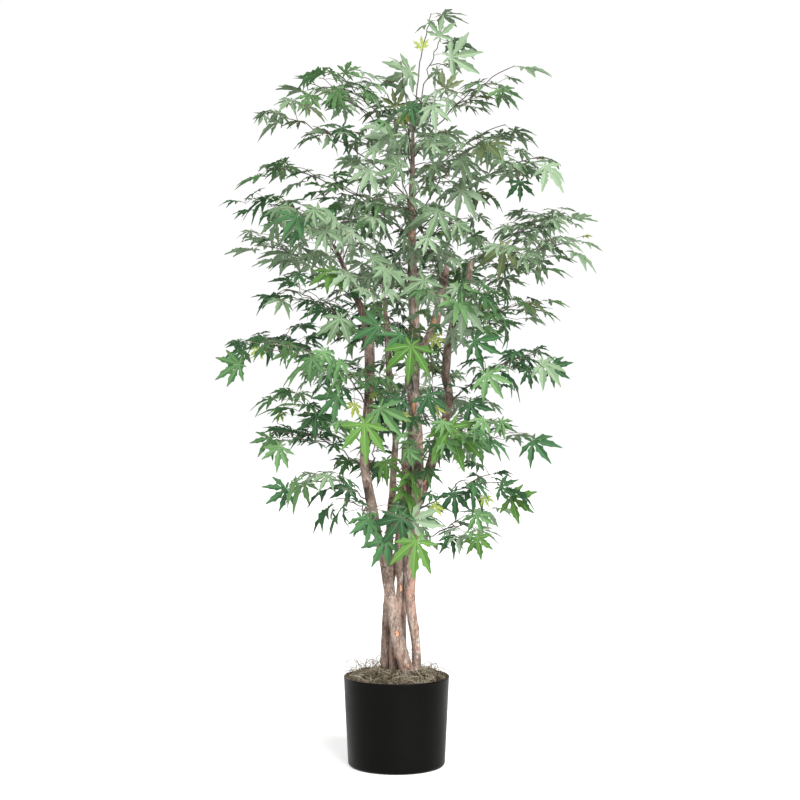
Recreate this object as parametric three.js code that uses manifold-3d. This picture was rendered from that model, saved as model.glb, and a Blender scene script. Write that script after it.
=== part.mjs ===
// A potted artificial maple: five natural wood stems stand in a round black pot, packed round with moss,
// and carry sprays of palmate cloth leaves on thin twigs.
// Millimetres. X runs to the viewer's right, Y away from the viewer and Z up from the pot's underside.
import * as THREE from "three";
import { mergeVertices } from "three/addons/utils/BufferGeometryUtils.js";
import Module from "manifold-3d";

const wasm = await Module();
wasm.setup();

// Clearance between neighbours that touch on the real tree.
const GAP = 0.3;

const POT = { height: 217, rim: 128, foot: 117.5, wall: 3, floor: 4, round: 10, facets: 32 };

// The packed core fills the pot up to the ground level, where the stems are cut flat.
const GROUND = 205;

// The moss lies on the core: edge and crown are heights above the ground level.
const MOSS = { edge: 8, crown: 24, lump: 2.5, facets: 24, rings: 4 };

// The front stem forks into two boughs at this height.
const FORK = 530;

// Each limb is rows of [height, x, y, radius], one for each bend, swelling or thinning of the real wood.
const LIMBS = {
  stem_left: [
    [GROUND, 34, -32, 17.5],
    [300, 6, -30, 16.5],
    [386, -10, -26, 14],
    [460, -22, -22, 14],
    [FORK, -29, -18, 15.5],
  ],
  bough_left_outer: [
    [FORK + GAP, -38, -18, 9.5],
    [620, -57, -22, 12],
    [740, -77, -26, 11.5],
    [890, -67, -24, 11.5],
    [1040, -67, -18, 12],
    [1110, -86, -12, 9],
    [1265, -152, -4, 5],
  ],
  bough_left_inner: [
    [FORK + GAP, -18, -17, 9],
    [630, -12, -8, 9.5],
    [765, -4, -4, 7.5],
    [812, -1, 0, 8.5],
    [880, -13, 4, 7.5],
    [1040, -23, 8, 6.5],
    [1180, -34, 12, 4],
  ],
  stem_sawn: [
    [GROUND, -7, 12, 11.5],
    [304, -6, 9, 10],
    [425, 9, 6, 9.5],
    [540, 5, 2, 9],
    [670, 18, 1, 9],
    [785, 24, 0, 9.5],
  ],
  stem_right: [
    [GROUND, 45, 12, 13],
    [274, 49, 8, 11],
    [372, 36, 2, 12.5],
    [425, 33, -2, 13],
    [571, 42, -7, 12],
    [717, 52, -9, 14],
    [861, 46, -10, 13.5],
    [941, 37, -9, 16],
    [1000, 57, -10, 10],
    [1080, 95, -10, 12],
    [1253, 130, -2, 5],
  ],
  stem_leader: [
    [GROUND, 10, 62, 14],
    [450, 14, 58, 12.5],
    [700, 33, 42, 12],
    [1009, 46, 26, 12],
    [1155, 40, 14, 12],
    [1325, 37, 4, 9],
    [1471, 39, 0, 5],
    [1570, 40, 0, 3.5],
  ],
  stem_right_outer: [
    [GROUND, -28, 34, 12.5],
    [401, -21, 40, 10.5],
    [486, -4, 31, 11],
    [571, 28, 24, 11.5],
    [676, 67, 17, 12.5],
    [780, 99, 8, 12.5],
    [880, 128, 2, 10],
    [956, 120, 0, 10],
    [1070, 136, 2, 9],
    [1167, 172, 4, 8],
    [1230, 182, 6, 5.5],
  ],
};
const BARK = { sides: 8, step: 58 };

// The crown's outline seen from the front: [height of the left tips, their reach from the pot's axis, and the
// same on the right]. One spray reaches each place.
const OUTLINE = [
  [640, 315, 505, 270],
  [735, 352, 615, 352],
  [805, 322, 740, 368],
  [962, 462, 925, 425],
  [1085, 362, 1055, 400],
  [1205, 434, 1190, 500],
  [1310, 385, 1290, 520],
  [1400, 424, 1400, 440],
  [1500, 365, 1510, 372],
  [1615, 325, 1625, 385],
];
// The sprays that head right and left turn to and fro by this many degrees from one to the next.
const SIDE_SWING = 16;
// Sprays to the back and front stand in tiers between these heights. They turn aside by each swing in turn, and
// reach each share of the outline in turn, so that the short ones fill the middle.
const DEPTH = { tiers: 14, low: 575, high: 1665, swings: [-34, 8, 36, -10], shares: [1.04, 0.52], steeper: 60 };
// The last sprays stand over the leader's tip.
const CROWN_TOP = [
  { tips: 1812, heading: 5, reach: 105, climb: 244 },
  { tips: 1730, heading: 8, reach: 225, climb: 205 },
];

const TWIG = { foot: 2.8, tip: 1.7, arch: 0.1, sides: 3, steps: 4 };
const SIDE_TWIGS = { at: [0.4, 0.62], turn: 48, length: 0.42, steps: 2 };

// A leaf's length runs from its heart to the tip of its middle lobe. Each stands for two or three leaves of the
// real tree, so it is larger than life. Where room is short it may shrink to the least share.
const LEAF = { length: 93, least: 0.6, thick: 4, curl: 0.14, pitch: -38, roll: 44, spread: 20, apart: 15, tries: 16 };
// Places round the leaf as [degrees from the middle lobe, share of the length]: the end of its stalk, a shoulder,
// then tips and notches in turn up to the middle lobe. The other half mirrors it.
const HALF_LEAF = [
  [180, 0.42],
  [128, 0.11],
  [95, 0.72],
  [69, 0.46],
  [46, 0.93],
  [23, 0.5],
  [0, 1],
];
// How far behind its heart a leaf's stalk meets its twig, as a share of its length.
const ROOT = 0.31;
const LEAVES_WANTED = 6;
// The outer sprays claim no room for the first part of their twig, so that the inner ones can stand round it.
const BARE_PART = 0.4;
// A leaf keeps this far inside its spray's own space, this far off the wood and this far off other sprays' twigs.
const MARGIN = 2;
const OFF_WOOD = 3;
const OFF_TWIG = 7;
// Slivers under this height are merged away, and vertices nearer to each other than the finest count as one.
const SLIVER = 0.8;
const FINEST = 1e-4;
// How many places along its main twig a spray is tested at, and how far that twig stands out of the wood at least.
const COURSE = 36;
const SHORTEST = 40;

const UP = new THREE.Vector3(0, 0, 1);
const rad = THREE.MathUtils.degToRad;

// Evenly spread numbers from 0 to 1, the same for the same seed.
function seeded(seed) {
  let state = seed;
  return () => {
    state = (state + 0x6d2b79f5) | 0;
    let mixed = Math.imul(state ^ (state >>> 15), state | 1);
    mixed ^= mixed + Math.imul(mixed ^ (mixed >>> 7), mixed | 61);
    return ((mixed ^ (mixed >>> 14)) >>> 0) / 4294967296;
  };
}

function heading(degrees, pitch = 0) {
  const level = Math.cos(rad(pitch));
  return new THREE.Vector3(
    Math.cos(rad(degrees)) * level,
    Math.sin(rad(degrees)) * level,
    Math.sin(rad(pitch)),
  );
}

// A closed three.js geometry as a solid that can be joined and cut.
function solid(geometry) {
  const bare = geometry.clone();
  bare.deleteAttribute("normal");
  bare.deleteAttribute("uv");
  const merged = mergeVertices(bare, 1e-4);
  return new wasm.Manifold(
    new wasm.Mesh({
      numProp: 3,
      vertProperties: merged.attributes.position.array,
      triVerts: new Uint32Array(merged.index.array),
    }),
  );
}

function geometryOf(manifold) {
  const mesh = manifold.getMesh();
  const geometry = new THREE.BufferGeometry();
  geometry.setAttribute("position", new THREE.BufferAttribute(mesh.vertProperties, 3));
  geometry.setIndex(new THREE.BufferAttribute(mesh.triVerts, 1));
  geometry.computeVertexNormals();
  return geometry;
}

// Moves each vertex of a three.js geometry to where place(vertex) puts it.
function reshape(geometry, place) {
  const position = geometry.attributes.position;
  const vertex = new THREE.Vector3();
  for (let i = 0; i < position.count; i++) {
    place(vertex.fromBufferAttribute(position, i), i);
    position.setXYZ(i, vertex.x, vertex.y, vertex.z);
  }
  return geometry;
}

// A limb's [x, y, radius] at a height: a smooth cubic through its rows.
function limbAt(rows, z) {
  const last = rows.length - 2;
  const i = Math.min(last, Math.max(0, rows.findIndex((row) => row[0] > z) - 1));
  const at = z >= rows[rows.length - 1][0] ? last : i;
  const slope = (k, c) => {
    const a = rows[Math.max(0, k - 1)];
    const b = rows[Math.min(rows.length - 1, k + 1)];
    return (b[c] - a[c]) / (b[0] - a[0]);
  };
  const from = rows[at];
  const to = rows[at + 1];
  const span = to[0] - from[0];
  const s = THREE.MathUtils.clamp((z - from[0]) / span, 0, 1);
  return [1, 2, 3].map(
    (c) =>
      from[c] * (1 + 2 * s) * (1 - s) ** 2 +
      to[c] * s * s * (3 - 2 * s) +
      slope(at, c) * span * s * (1 - s) ** 2 -
      slope(at + 1, c) * span * s * s * (1 - s),
  );
}

// A limb's solid, made larger all round by grow. Its rings are level, so that its ends are flat cuts.
function limbSolid(rows, grow = 0) {
  const low = rows[0][0] - grow;
  const high = rows[rows.length - 1][0] + grow;
  const steps = Math.round((high - low) / BARK.step);
  const tube = new THREE.CylinderGeometry(1, 1, 1, BARK.sides, steps);
  return solid(
    reshape(tube, (vertex) => {
      const z = low + (vertex.y + 0.5) * (high - low);
      const [x, y, radius] = limbAt(rows, z);
      vertex.set(x + vertex.x * (radius + grow), y - vertex.z * (radius + grow), z);
    }),
  );
}

// Turned about the Z axis from its outline of (radius, height) points.
function turned(points, facets) {
  const profile = points.map(([radius, z]) => new THREE.Vector2(radius, z));
  return new THREE.LatheGeometry(profile, facets).rotateX(Math.PI / 2);
}

function potRadius(z) {
  return POT.foot + ((POT.rim - POT.foot) * z) / POT.height;
}

function pot() {
  const { height, wall, floor, round } = POT;
  const corner = [0, 45, 90].map((angle) => [
    potRadius(round) - round + round * Math.sin(rad(angle)),
    round - round * Math.cos(rad(angle)),
  ]);
  return turned(
    [
      [0, 0],
      ...corner,
      [POT.rim, height],
      [POT.rim - wall, height],
      [potRadius(round) - wall, round],
      [potRadius(floor) - wall - 2, floor],
      [0, floor],
    ],
    POT.facets,
  );
}

function core() {
  const low = POT.floor + GAP;
  const inside = (z) => potRadius(z) - POT.wall - GAP;
  return turned(
    [
      [0, low],
      [inside(low) - 3, low],
      [inside(POT.round) - 1, POT.round + 1],
      [inside(GROUND), GROUND - GAP],
      [0, GROUND - GAP],
    ],
    POT.facets,
  );
}

// A lumpy mound inside the rim, with a hole round the foot of each stem.
function moss(stems) {
  const outer = potRadius(GROUND) - POT.wall - 2 * GAP;
  const outline = [
    [0, GROUND],
    [outer, GROUND],
  ];
  for (let ring = 0; ring < MOSS.rings; ring++) {
    const share = ring / MOSS.rings;
    const radius = outer * (1 - share);
    const height = MOSS.edge + (MOSS.crown - MOSS.edge) * Math.sin(rad(90 * Math.min(1, share * 1.6)));
    outline.push([radius, GROUND + height]);
  }
  outline.push([0, GROUND + MOSS.crown]);
  const mound = reshape(turned(outline, MOSS.facets), (vertex) => {
    if (vertex.z > GROUND + 1) {
      const wave = Math.sin(vertex.x * 0.09 + 1) + Math.cos(vertex.y * 0.11) + Math.sin((vertex.x + vertex.y) * 0.05);
      vertex.z += (MOSS.lump * wave) / 2;
    }
  });
  return stems.reduce((rest, rows) => rest.subtract(limbSolid(rows, 1)), solid(mound));
}

// A twig rises from its start, arches over and comes down towards its end.
class Twig {
  constructor(start, end, footRadius, tipRadius, steps) {
    Object.assign(this, { start, end, footRadius, tipRadius, steps });
    this.length = start.distanceTo(end);
  }
  point(t) {
    const arch = 4 * TWIG.arch * this.length * t * (1 - t);
    return this.start.clone().lerp(this.end, t).addScaledVector(UP, arch);
  }
  radius(t) {
    return this.footRadius + (this.tipRadius - this.footRadius) * t;
  }
  solid() {
    const rod = new THREE.CylinderGeometry(1, 1, 1, TWIG.sides, this.steps);
    const tilt = Math.abs(this.end.z - this.start.z) > 0.9 * this.length ? heading(0) : UP;
    return solid(
      reshape(rod, (vertex) => {
        const t = vertex.y + 0.5;
        const ahead = this.point(t + 0.01).sub(this.point(t - 0.01)).normalize();
        const side = ahead.clone().cross(tilt).normalize();
        const lift = ahead.clone().cross(side);
        const { x, z } = vertex;
        vertex.copy(this.point(t));
        vertex.addScaledVector(side, x * this.radius(t));
        vertex.addScaledVector(lift, -z * this.radius(t));
      }),
    );
  }
}

// A leaf grows from foot on a twig, with its middle lobe towards turn and pitch, rolled about that lobe.
class Leaf {
  constructor(foot, turn, pitch, roll, size) {
    this.length = size * LEAF.length;
    this.ahead = heading(turn, pitch);
    this.across = UP.clone().cross(this.ahead).normalize().applyAxisAngle(this.ahead, rad(roll));
    this.face = this.ahead.clone().cross(this.across);
    this.heart = foot.clone().addScaledVector(this.ahead, ROOT * this.length);
  }
  // The point at an angle from the middle lobe and a share of the leaf's length.
  place(angle, share) {
    const reach = share * this.length;
    return this.heart
      .clone()
      .addScaledVector(this.ahead, reach * Math.cos(rad(angle)))
      .addScaledVector(this.across, reach * Math.sin(rad(angle)))
      .addScaledVector(this.face, -reach * LEAF.curl * share);
  }
  // A sphere of two rows is a fan above and below an equator, which is drawn out to the lobes.
  solid() {
    const half = HALF_LEAF.length - 1;
    const fan = new THREE.SphereGeometry(1, 2 * half, 2);
    return solid(
      reshape(fan, (vertex, i) => {
        const row = Math.floor(i / (2 * half + 1));
        const step = (i % (2 * half + 1)) % (2 * half);
        const [angle, share] = HALF_LEAF[half - Math.abs(step - half)];
        if (row === 1) vertex.copy(this.place(step < half ? -angle : angle, share));
        else vertex.copy(this.heart).addScaledVector(this.face, (1 - row) * (LEAF.thick / 2));
      }),
    );
  }
  samples() {
    const places = [this.heart];
    HALF_LEAF.slice(2).forEach(([angle, share]) => {
      [0.45, 0.75, 1].forEach((part) => {
        places.push(this.place(angle, share * part), this.place(-angle, share * part));
      });
    });
    return places;
  }
}

// The limb that stands furthest out towards a heading at a height.
function limbTowards(z, direction) {
  let best = null;
  Object.entries(LIMBS).forEach(([name, rows]) => {
    if (name === "stem_sawn" || z < rows[0][0] + 30 || z > rows[rows.length - 1][0]) return;
    const [x, y, radius] = limbAt(rows, z);
    const outward = x * direction.x + y * direction.y + radius;
    if (!best || outward > best.outward) best = { name, x, y, outward };
  });
  return best;
}

// How much of a distance to a limb is left at a point, less the limb's radius.
function offWood(point, rows) {
  if (point.z > rows[rows.length - 1][0] + OFF_WOOD) return Infinity;
  const [x, y, radius] = limbAt(rows, point.z);
  return Math.hypot(point.x - x, point.y - y) - radius;
}

// A spray's axis runs from its limb to the tips of its last leaf. It turns aside by the least angle that keeps its
// twig clear of the other wood and of the sprays before it.
function addSpray(sprays, name, tips, wanted, reach, climb, bare) {
  const height = Math.min(tips - climb, LIMBS.stem_leader.at(-1)[0] - 2);
  for (const aside of [0, 6, -6, 12, -12, 18, -18, 24, -24, 30, -30]) {
    const turn = wanted + aside;
    const direction = heading(turn);
    const limb = limbTowards(height, direction);
    const start = new THREE.Vector3(limb.x, limb.y, height);
    const leafOut = (1 + ROOT) * LEAF.length;
    const tip = direction.clone().multiplyScalar(Math.max(reach, limb.outward + SHORTEST + leafOut)).setZ(tips);
    const pitch = LEAF.pitch + THREE.MathUtils.radToDeg(Math.atan2(climb, reach)) * 0.45;
    const end = tip.clone().addScaledVector(heading(turn, pitch), -leafOut);
    const main = new Twig(start, end, TWIG.foot, TWIG.tip, TWIG.steps);
    const course = [];
    for (let k = 1; k <= COURSE; k++) course.push(main.point(k / COURSE));
    const clear = course.every(
      (point) =>
        Object.entries(LIMBS).every(([other, rows]) => other === limb.name || offWood(point, rows) > OFF_WOOD) &&
        sprays.every((other) => distanceTo(other.course, point) > OFF_TWIG),
    );
    if (!clear) continue;
    const claim = course.filter((point, k) => k % 6 === 0 && k / COURSE >= bare);
    sprays.push({ name, limb: limb.name, turn, pitch, main, course, claim: [...claim, main.end, tip] });
    return;
  }
}

// The outline's mean reach at a height.
function reachAt(z) {
  const rows = OUTLINE.map(([leftZ, left, rightZ, right]) => [(leftZ + rightZ) / 2, (left + right) / 2]);
  const above = rows.findIndex(([height]) => height > z);
  if (above < 1) return rows.at(above)[1];
  const [[lowZ, low], [highZ, high]] = rows.slice(above - 1, above + 1);
  return THREE.MathUtils.mapLinear(z, lowZ, highZ, low, high);
}

// Twigs climb more steeply higher up the tree.
function climbAt(z) {
  return THREE.MathUtils.mapLinear(z, 500, 1700, -15, 165);
}

function plantSprays() {
  const sprays = [];
  CROWN_TOP.forEach(({ tips, heading: turn, reach, climb }, k) => {
    addSpray(sprays, `spray_top_${k + 1}`, tips, turn, reach, climb, 0.2);
  });
  OUTLINE.forEach(([leftTips, leftReach, rightTips, rightReach], level) => {
    const swing = level % 2 ? -SIDE_SWING : SIDE_SWING;
    const out = Math.cos(rad(swing));
    addSpray(sprays, `spray_left_${level + 1}`, leftTips, 180 + swing, leftReach / out, climbAt(leftTips), BARE_PART);
    addSpray(sprays, `spray_right_${level + 1}`, rightTips, swing, rightReach / out, climbAt(rightTips), BARE_PART);
  });
  for (let level = 0; level < DEPTH.tiers; level++) {
    const tips = THREE.MathUtils.mapLinear(level, 0, DEPTH.tiers - 1, DEPTH.low, DEPTH.high);
    const swing = DEPTH.swings[level % 4];
    [["front", 270], ["back", 90]].forEach(([side, towards], k) => {
      const short = (level + k) % 2;
      const reach = DEPTH.shares[short] * reachAt(tips);
      const climb = climbAt(tips) + short * DEPTH.steeper;
      addSpray(sprays, `spray_${side}_${level + 1}`, tips, towards + swing, reach, climb, short ? 0.1 : BARE_PART);
    });
  }
  return sprays;
}

function distanceTo(axis, point) {
  const nearest = new THREE.Vector3();
  const piece = new THREE.Line3();
  let least = Infinity;
  for (let k = 1; k < axis.length; k++) {
    piece.set(axis[k - 1], axis[k]).closestPointToPoint(point, true, nearest);
    least = Math.min(least, nearest.distanceTo(point));
  }
  return least;
}

// True if every point is nearer to its own spray's claim than to any other, and clear of the wood and twigs.
function fits(points, own, sprays) {
  return points.every((point) => {
    const near = distanceTo(own.claim, point) + MARGIN;
    return (
      sprays.every(
        (other) =>
          other === own || (distanceTo(other.claim, point) > near && distanceTo(other.course, point) > OFF_TWIG),
      ) && Object.values(LIMBS).every((rows) => offWood(point, rows) > OFF_WOOD)
    );
  });
}

// Puts a leaf at a twig's place t if one of a few tries finds room, each freer in its turn and smaller.
function tryLeaf(own, twig, t, turn, random, leaves, sprays) {
  const foot = twig.point(t);
  for (let attempt = 0; attempt < LEAF.tries; attempt++) {
    const eased = attempt / (LEAF.tries - 1);
    const spread = LEAF.spread * (1 + 2 * eased);
    const pitch = own.pitch + spread * (2 * random() - 1);
    const roll = LEAF.roll * (2 * random() - 1);
    const size = 1 - (1 - LEAF.least) * eased;
    const leaf = new Leaf(foot, turn + spread * (2 * random() - 1), pitch, roll, size);
    const samples = leaf.samples();
    const crowded = leaves.some((other) =>
      other.places.some((place) => samples.some((sample) => sample.distanceTo(place) < LEAF.apart)),
    );
    if (!crowded && fits(samples, own, sprays)) {
      leaf.places = samples;
      leaves.push(leaf);
      return;
    }
  }
}

// The twigs and leaves of one spray, by a rule that the seed alone varies.
function grow(own, seed, sprays) {
  const random = seeded(seed);
  const { main } = own;
  const twigs = [main];
  const leaves = [];
  tryLeaf(own, main, 0.985, own.turn, random, leaves, sprays);
  SIDE_TWIGS.at.forEach((at, k) => {
    const side = (k + seed) % 2 ? 1 : -1;
    const turn = own.turn + side * SIDE_TWIGS.turn * (0.8 + 0.4 * random());
    const start = main.point(at);
    const reach = main.length * SIDE_TWIGS.length * (1 - 0.5 * at);
    const end = start.clone().addScaledVector(heading(turn, 30 * random() - 6), reach);
    const twig = new Twig(start, end, main.radius(at) * 0.8, TWIG.tip, SIDE_TWIGS.steps);
    const course = [0.3, 0.5, 0.75, 1].map((t) => twig.point(t));
    if (!fits(course, own, sprays)) return;
    const before = leaves.length;
    tryLeaf(own, twig, 0.97, turn, random, leaves, sprays);
    tryLeaf(own, twig, 0.55, turn + side * 60, random, leaves, sprays);
    tryLeaf(own, twig, 0.6, turn - side * 60, random, leaves, sprays);
    if (leaves.length > before) twigs.push(twig);
  });
  [0.86, 0.7, 0.54, 0.38, 0.24, 0.92, 0.46, 0.3].forEach((t, k) => {
    const side = (k + seed) % 2 ? -1 : 1;
    if (leaves.length < LEAVES_WANTED) {
      tryLeaf(own, main, t, own.turn + side * (60 + 30 * random()), random, leaves, sprays);
    }
  });
  return { twigs, leaves };
}

// True if each edge still joins two triangles once the vertices are rounded to FINEST.
function staysClosed(manifold) {
  const { vertProperties, triVerts } = manifold.getMesh();
  const corner = (v) => [0, 1, 2].map((c) => Math.round(vertProperties[3 * v + c] / FINEST)).join();
  const uses = new Map();
  for (let i = 0; i < triVerts.length; i += 3) {
    const ends = [0, 1, 2].map((k) => corner(triVerts[i + k]));
    if (new Set(ends).size < 3) continue;
    ends.forEach((end, k) => {
      const edge = [end, ends[(k + 1) % 3]].sort().join(" ");
      uses.set(edge, (uses.get(edge) || 0) + 1);
    });
  }
  return [...uses.values()].every((count) => count === 2);
}

// One spray as a single solid, its foot cut clear of the limb that carries it. A leaf that touches any other solid
// is left out, and so is the last leaf if two surfaces meet in a way that isn't a clean solid.
function spraySolid(own, seed, sprays, others) {
  const { twigs, leaves } = grow(own, seed, sprays);
  const free = leaves
    .map((leaf) => leaf.solid())
    .filter((leaf) => others.every((other) => leaf.intersect(other).isEmpty()));
  const joined = [...twigs.map((twig) => twig.solid()), ...free];
  while (true) {
    const whole = wasm.Manifold.union(joined).asOriginal().simplify(SLIVER);
    const cut = whole.subtract(limbSolid(LIMBS[own.limb], GAP)).asOriginal().simplify();
    const [largest] = cut.decompose().sort((a, b) => b.volume() - a.volume());
    if (staysClosed(largest)) return largest;
    joined.pop();
  }
}

const FINISH = {
  pot: { color: 0x16160f, roughness: 0.45 },
  core: { color: 0x5b5148, roughness: 0.95 },
  moss: { color: 0x7d735c, roughness: 1 },
  bark: { color: 0x8a6e62, roughness: 0.85 },
  foliage: { color: 0x4f8a52, roughness: 0.7 },
};

const tree = new THREE.Group();

function put(name, geometry, finish) {
  const mesh = new THREE.Mesh(geometry, new THREE.MeshStandardMaterial({ metalness: 0, ...FINISH[finish] }));
  mesh.name = name;
  tree.add(mesh);
}

put("pot", pot(), "pot");
put("core", core(), "core");
const stemsInMoss = Object.values(LIMBS).filter((rows) => rows[0][0] === GROUND);
put("moss", geometryOf(moss(stemsInMoss)), "moss");
Object.entries(LIMBS).forEach(([name, rows]) => put(name, geometryOf(limbSolid(rows)), "bark"));
const sprays = plantSprays();
const others = Object.values(LIMBS).map((rows) => limbSolid(rows, GAP));
sprays.forEach((own, k) => {
  const made = spraySolid(own, 101 + 7 * k, sprays, others);
  others.push(made);
  put(own.name, geometryOf(made), "foliage");
});

export default tree;
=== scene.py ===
# %% [markdown]
# # A potted artificial maple
# The tree is man-made. Real wood stems stand in a black plastic pot, packed round with dried moss, and
# carry cloth leaves on wire twigs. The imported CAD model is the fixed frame, and each step below dresses
# one part of it. Lengths are in millimetres while a shape is worked out, as in the CAD source, and in
# metres in the mesh.

# %% The frame
import math

import bmesh
import bpy
import numpy as np
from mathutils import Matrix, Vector, noise


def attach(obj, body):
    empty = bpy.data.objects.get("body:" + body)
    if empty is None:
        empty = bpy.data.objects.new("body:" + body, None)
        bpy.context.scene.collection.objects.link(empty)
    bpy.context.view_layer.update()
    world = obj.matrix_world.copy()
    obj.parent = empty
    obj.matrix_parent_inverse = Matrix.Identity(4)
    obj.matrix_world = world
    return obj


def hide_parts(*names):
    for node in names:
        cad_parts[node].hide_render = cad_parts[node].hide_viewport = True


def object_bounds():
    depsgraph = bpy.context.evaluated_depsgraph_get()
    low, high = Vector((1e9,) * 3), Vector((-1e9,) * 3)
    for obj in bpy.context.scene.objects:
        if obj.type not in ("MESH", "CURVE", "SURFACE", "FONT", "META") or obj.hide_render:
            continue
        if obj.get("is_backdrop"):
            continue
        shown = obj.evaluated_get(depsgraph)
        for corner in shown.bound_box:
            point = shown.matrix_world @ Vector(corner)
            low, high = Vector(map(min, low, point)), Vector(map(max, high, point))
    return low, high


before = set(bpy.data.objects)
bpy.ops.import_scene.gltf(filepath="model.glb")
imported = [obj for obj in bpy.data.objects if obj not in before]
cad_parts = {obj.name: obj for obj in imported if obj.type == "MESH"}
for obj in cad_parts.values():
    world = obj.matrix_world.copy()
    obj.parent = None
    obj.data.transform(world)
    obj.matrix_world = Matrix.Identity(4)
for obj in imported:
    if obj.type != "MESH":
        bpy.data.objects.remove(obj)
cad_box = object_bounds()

MM = 0.001
print("CAD nodes:", len(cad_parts))

# %% [markdown]
# ## Camera, light and floor
# The photograph was taken from about 4 m away at half the tree's height, with a level camera, so the rim
# of the pot is seen from above and the crown from slightly below. A long lens keeps the stems upright.
# The studio is white all round: the world is white at eye level, where it is the backdrop, and dimmer
# overhead, so that a broad key light from the upper right still gives the leaves their shape. A small
# fill lamp stands at the left and a wider one far behind, so the back of the crown is lit too.

# %% Camera
EYE = (0.0085, -4.0, 0.887)
SENSOR_WIDTH = 36
IMAGE_PIXELS = 800
FOCUS_PIXELS = 1645

camera = bpy.data.cameras.new("camera")
camera.sensor_width = SENSOR_WIDTH
camera.lens = SENSOR_WIDTH * FOCUS_PIXELS / IMAGE_PIXELS
eye = bpy.data.objects.new("camera", camera)
eye.location = EYE
eye.rotation_euler = (math.radians(90), 0, 0)
bpy.context.collection.objects.link(eye)
bpy.context.scene.camera = eye
print("lens:", round(camera.lens, 1), "mm")

# %% Light and floor
# The world's light by the sine of the height above eye level: the backdrop's, and the dimmer one overhead.
BACKDROP = {"light": 1.02, "up_to": 0.26}
OVERHEAD = {"light": 0.22, "from": 0.5}
SUN = {"from": (1.6, -3.2, 3.0), "watts": 5.5, "softness": 36}
LAMPS = {
    "fill": {"place": (-2.2, -2.8, 1.6), "size": 1.6, "watts": 20},
    "rear": {"place": (-3.4, 3.4, 2.4), "size": 2.2, "watts": 130},
}
LAMP_TARGET = Vector((0, 0, 1.0))
FLOOR_SIDE = 40
PAPER = {"color": (0.72, 0.72, 0.715), "glow": 0.45}

bpy.context.scene.view_settings.view_transform = "Standard"
world = bpy.data.worlds.new("studio")
world.use_nodes = True
sky = world.node_tree
where = sky.nodes.new("ShaderNodeTexCoord")
parts = sky.nodes.new("ShaderNodeSeparateXYZ")
height = sky.nodes.new("ShaderNodeMath")
height.operation = "ABSOLUTE"
fade = sky.nodes.new("ShaderNodeMapRange")
fade.inputs["From Min"].default_value = BACKDROP["up_to"]
fade.inputs["From Max"].default_value = OVERHEAD["from"]
fade.inputs["To Min"].default_value = BACKDROP["light"]
fade.inputs["To Max"].default_value = OVERHEAD["light"]
sky.links.new(where.outputs["Generated"], parts.inputs["Vector"])
sky.links.new(parts.outputs["Z"], height.inputs[0])
sky.links.new(height.outputs["Value"], fade.inputs["Value"])
sky.links.new(fade.outputs["Result"], sky.nodes["Background"].inputs["Strength"])
sky.nodes["Background"].inputs["Color"].default_value = (1, 1, 1, 1)
bpy.context.scene.world = world


def lamp(name, kind, position, energy):
    """Hangs a lamp that points at the crown and isn't seen itself."""
    light = bpy.data.lights.new(name, kind)
    light.energy = energy
    holder = bpy.data.objects.new(name, light)
    holder.location = position
    holder.visible_camera = False
    holder.rotation_euler = (LAMP_TARGET - holder.location).to_track_quat("-Z", "Y").to_euler()
    bpy.context.collection.objects.link(holder)
    return light


sun = lamp("key", "SUN", SUN["from"], SUN["watts"])
sun.angle = math.radians(SUN["softness"])
for name, values in LAMPS.items():
    lamp(name, "AREA", values["place"], values["watts"]).size = values["size"]


def surface(name, color, roughness=0.6, **more):
    """A plain material: one colour in linear light, and any other constants of its shader by their name."""
    material = bpy.data.materials.new(name)
    material.use_nodes = True
    shader = material.node_tree.nodes["Principled BSDF"]
    shader.inputs["Base Color"].default_value = (*color, 1)
    shader.inputs["Roughness"].default_value = roughness
    for key, value in more.items():
        shader.inputs[key.replace("_", " ")].default_value = value
    return material


def shown(mesh, name):
    """Links a finished mesh to the scene as a smooth object at the origin."""
    mesh.shade_smooth()
    piece = bpy.data.objects.new(name, mesh)
    bpy.context.collection.objects.link(piece)
    mesh.calc_loop_triangles()
    print(name, len(mesh.loop_triangles), "triangles")
    return piece


def place(bm, name, material):
    """Turns a bmesh in millimetres into an object in metres with one material."""
    bmesh.ops.scale(bm, vec=(MM, MM, MM), verts=bm.verts)
    mesh = bpy.data.meshes.new(name)
    bm.to_mesh(mesh)
    bm.free()
    mesh.materials.append(material)
    return shown(mesh, name)


floor_shape = bmesh.new()
bmesh.ops.create_grid(floor_shape, x_segments=1, y_segments=1, size=FLOOR_SIDE / 2 / MM)
glow = {"Emission_Color": (1, 1, 1, 1), "Emission_Strength": PAPER["glow"]}
paper = surface("floor_paper", PAPER["color"], 0.9, **glow)
floor = place(floor_shape, "floor", paper)
floor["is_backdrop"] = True

# %% [markdown]
# ## Pot
# A blow-moulded pot in black plastic: slightly wider at the top, with a rounded foot and a thin plain
# rim. It could be a cylinder with bevelled edges, but turning its outline gives the taper, the soft foot
# and the wall's inner face in one step, and the seam is merged where the spin closes.

# %% Pot shape
POT = {"height": 217, "rim": 128, "foot": 117.5, "wall": 3, "floor": 4, "round": 10}
# The underside is dished a little, so the pot stands on a ring.
UNDERSIDE = [(0, 1.5), (60, 1.5), (88, 0), (100, 0)]
ROUND_STEPS = 8
WALL_ROWS = (60, 110, 160, 200, 211)
# The top of the filling, where the stems start.
GROUND = 205
TURN_STEPS = 144


def pot_radius(z):
    return POT["foot"] + (POT["rim"] - POT["foot"]) * z / POT["height"]


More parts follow.
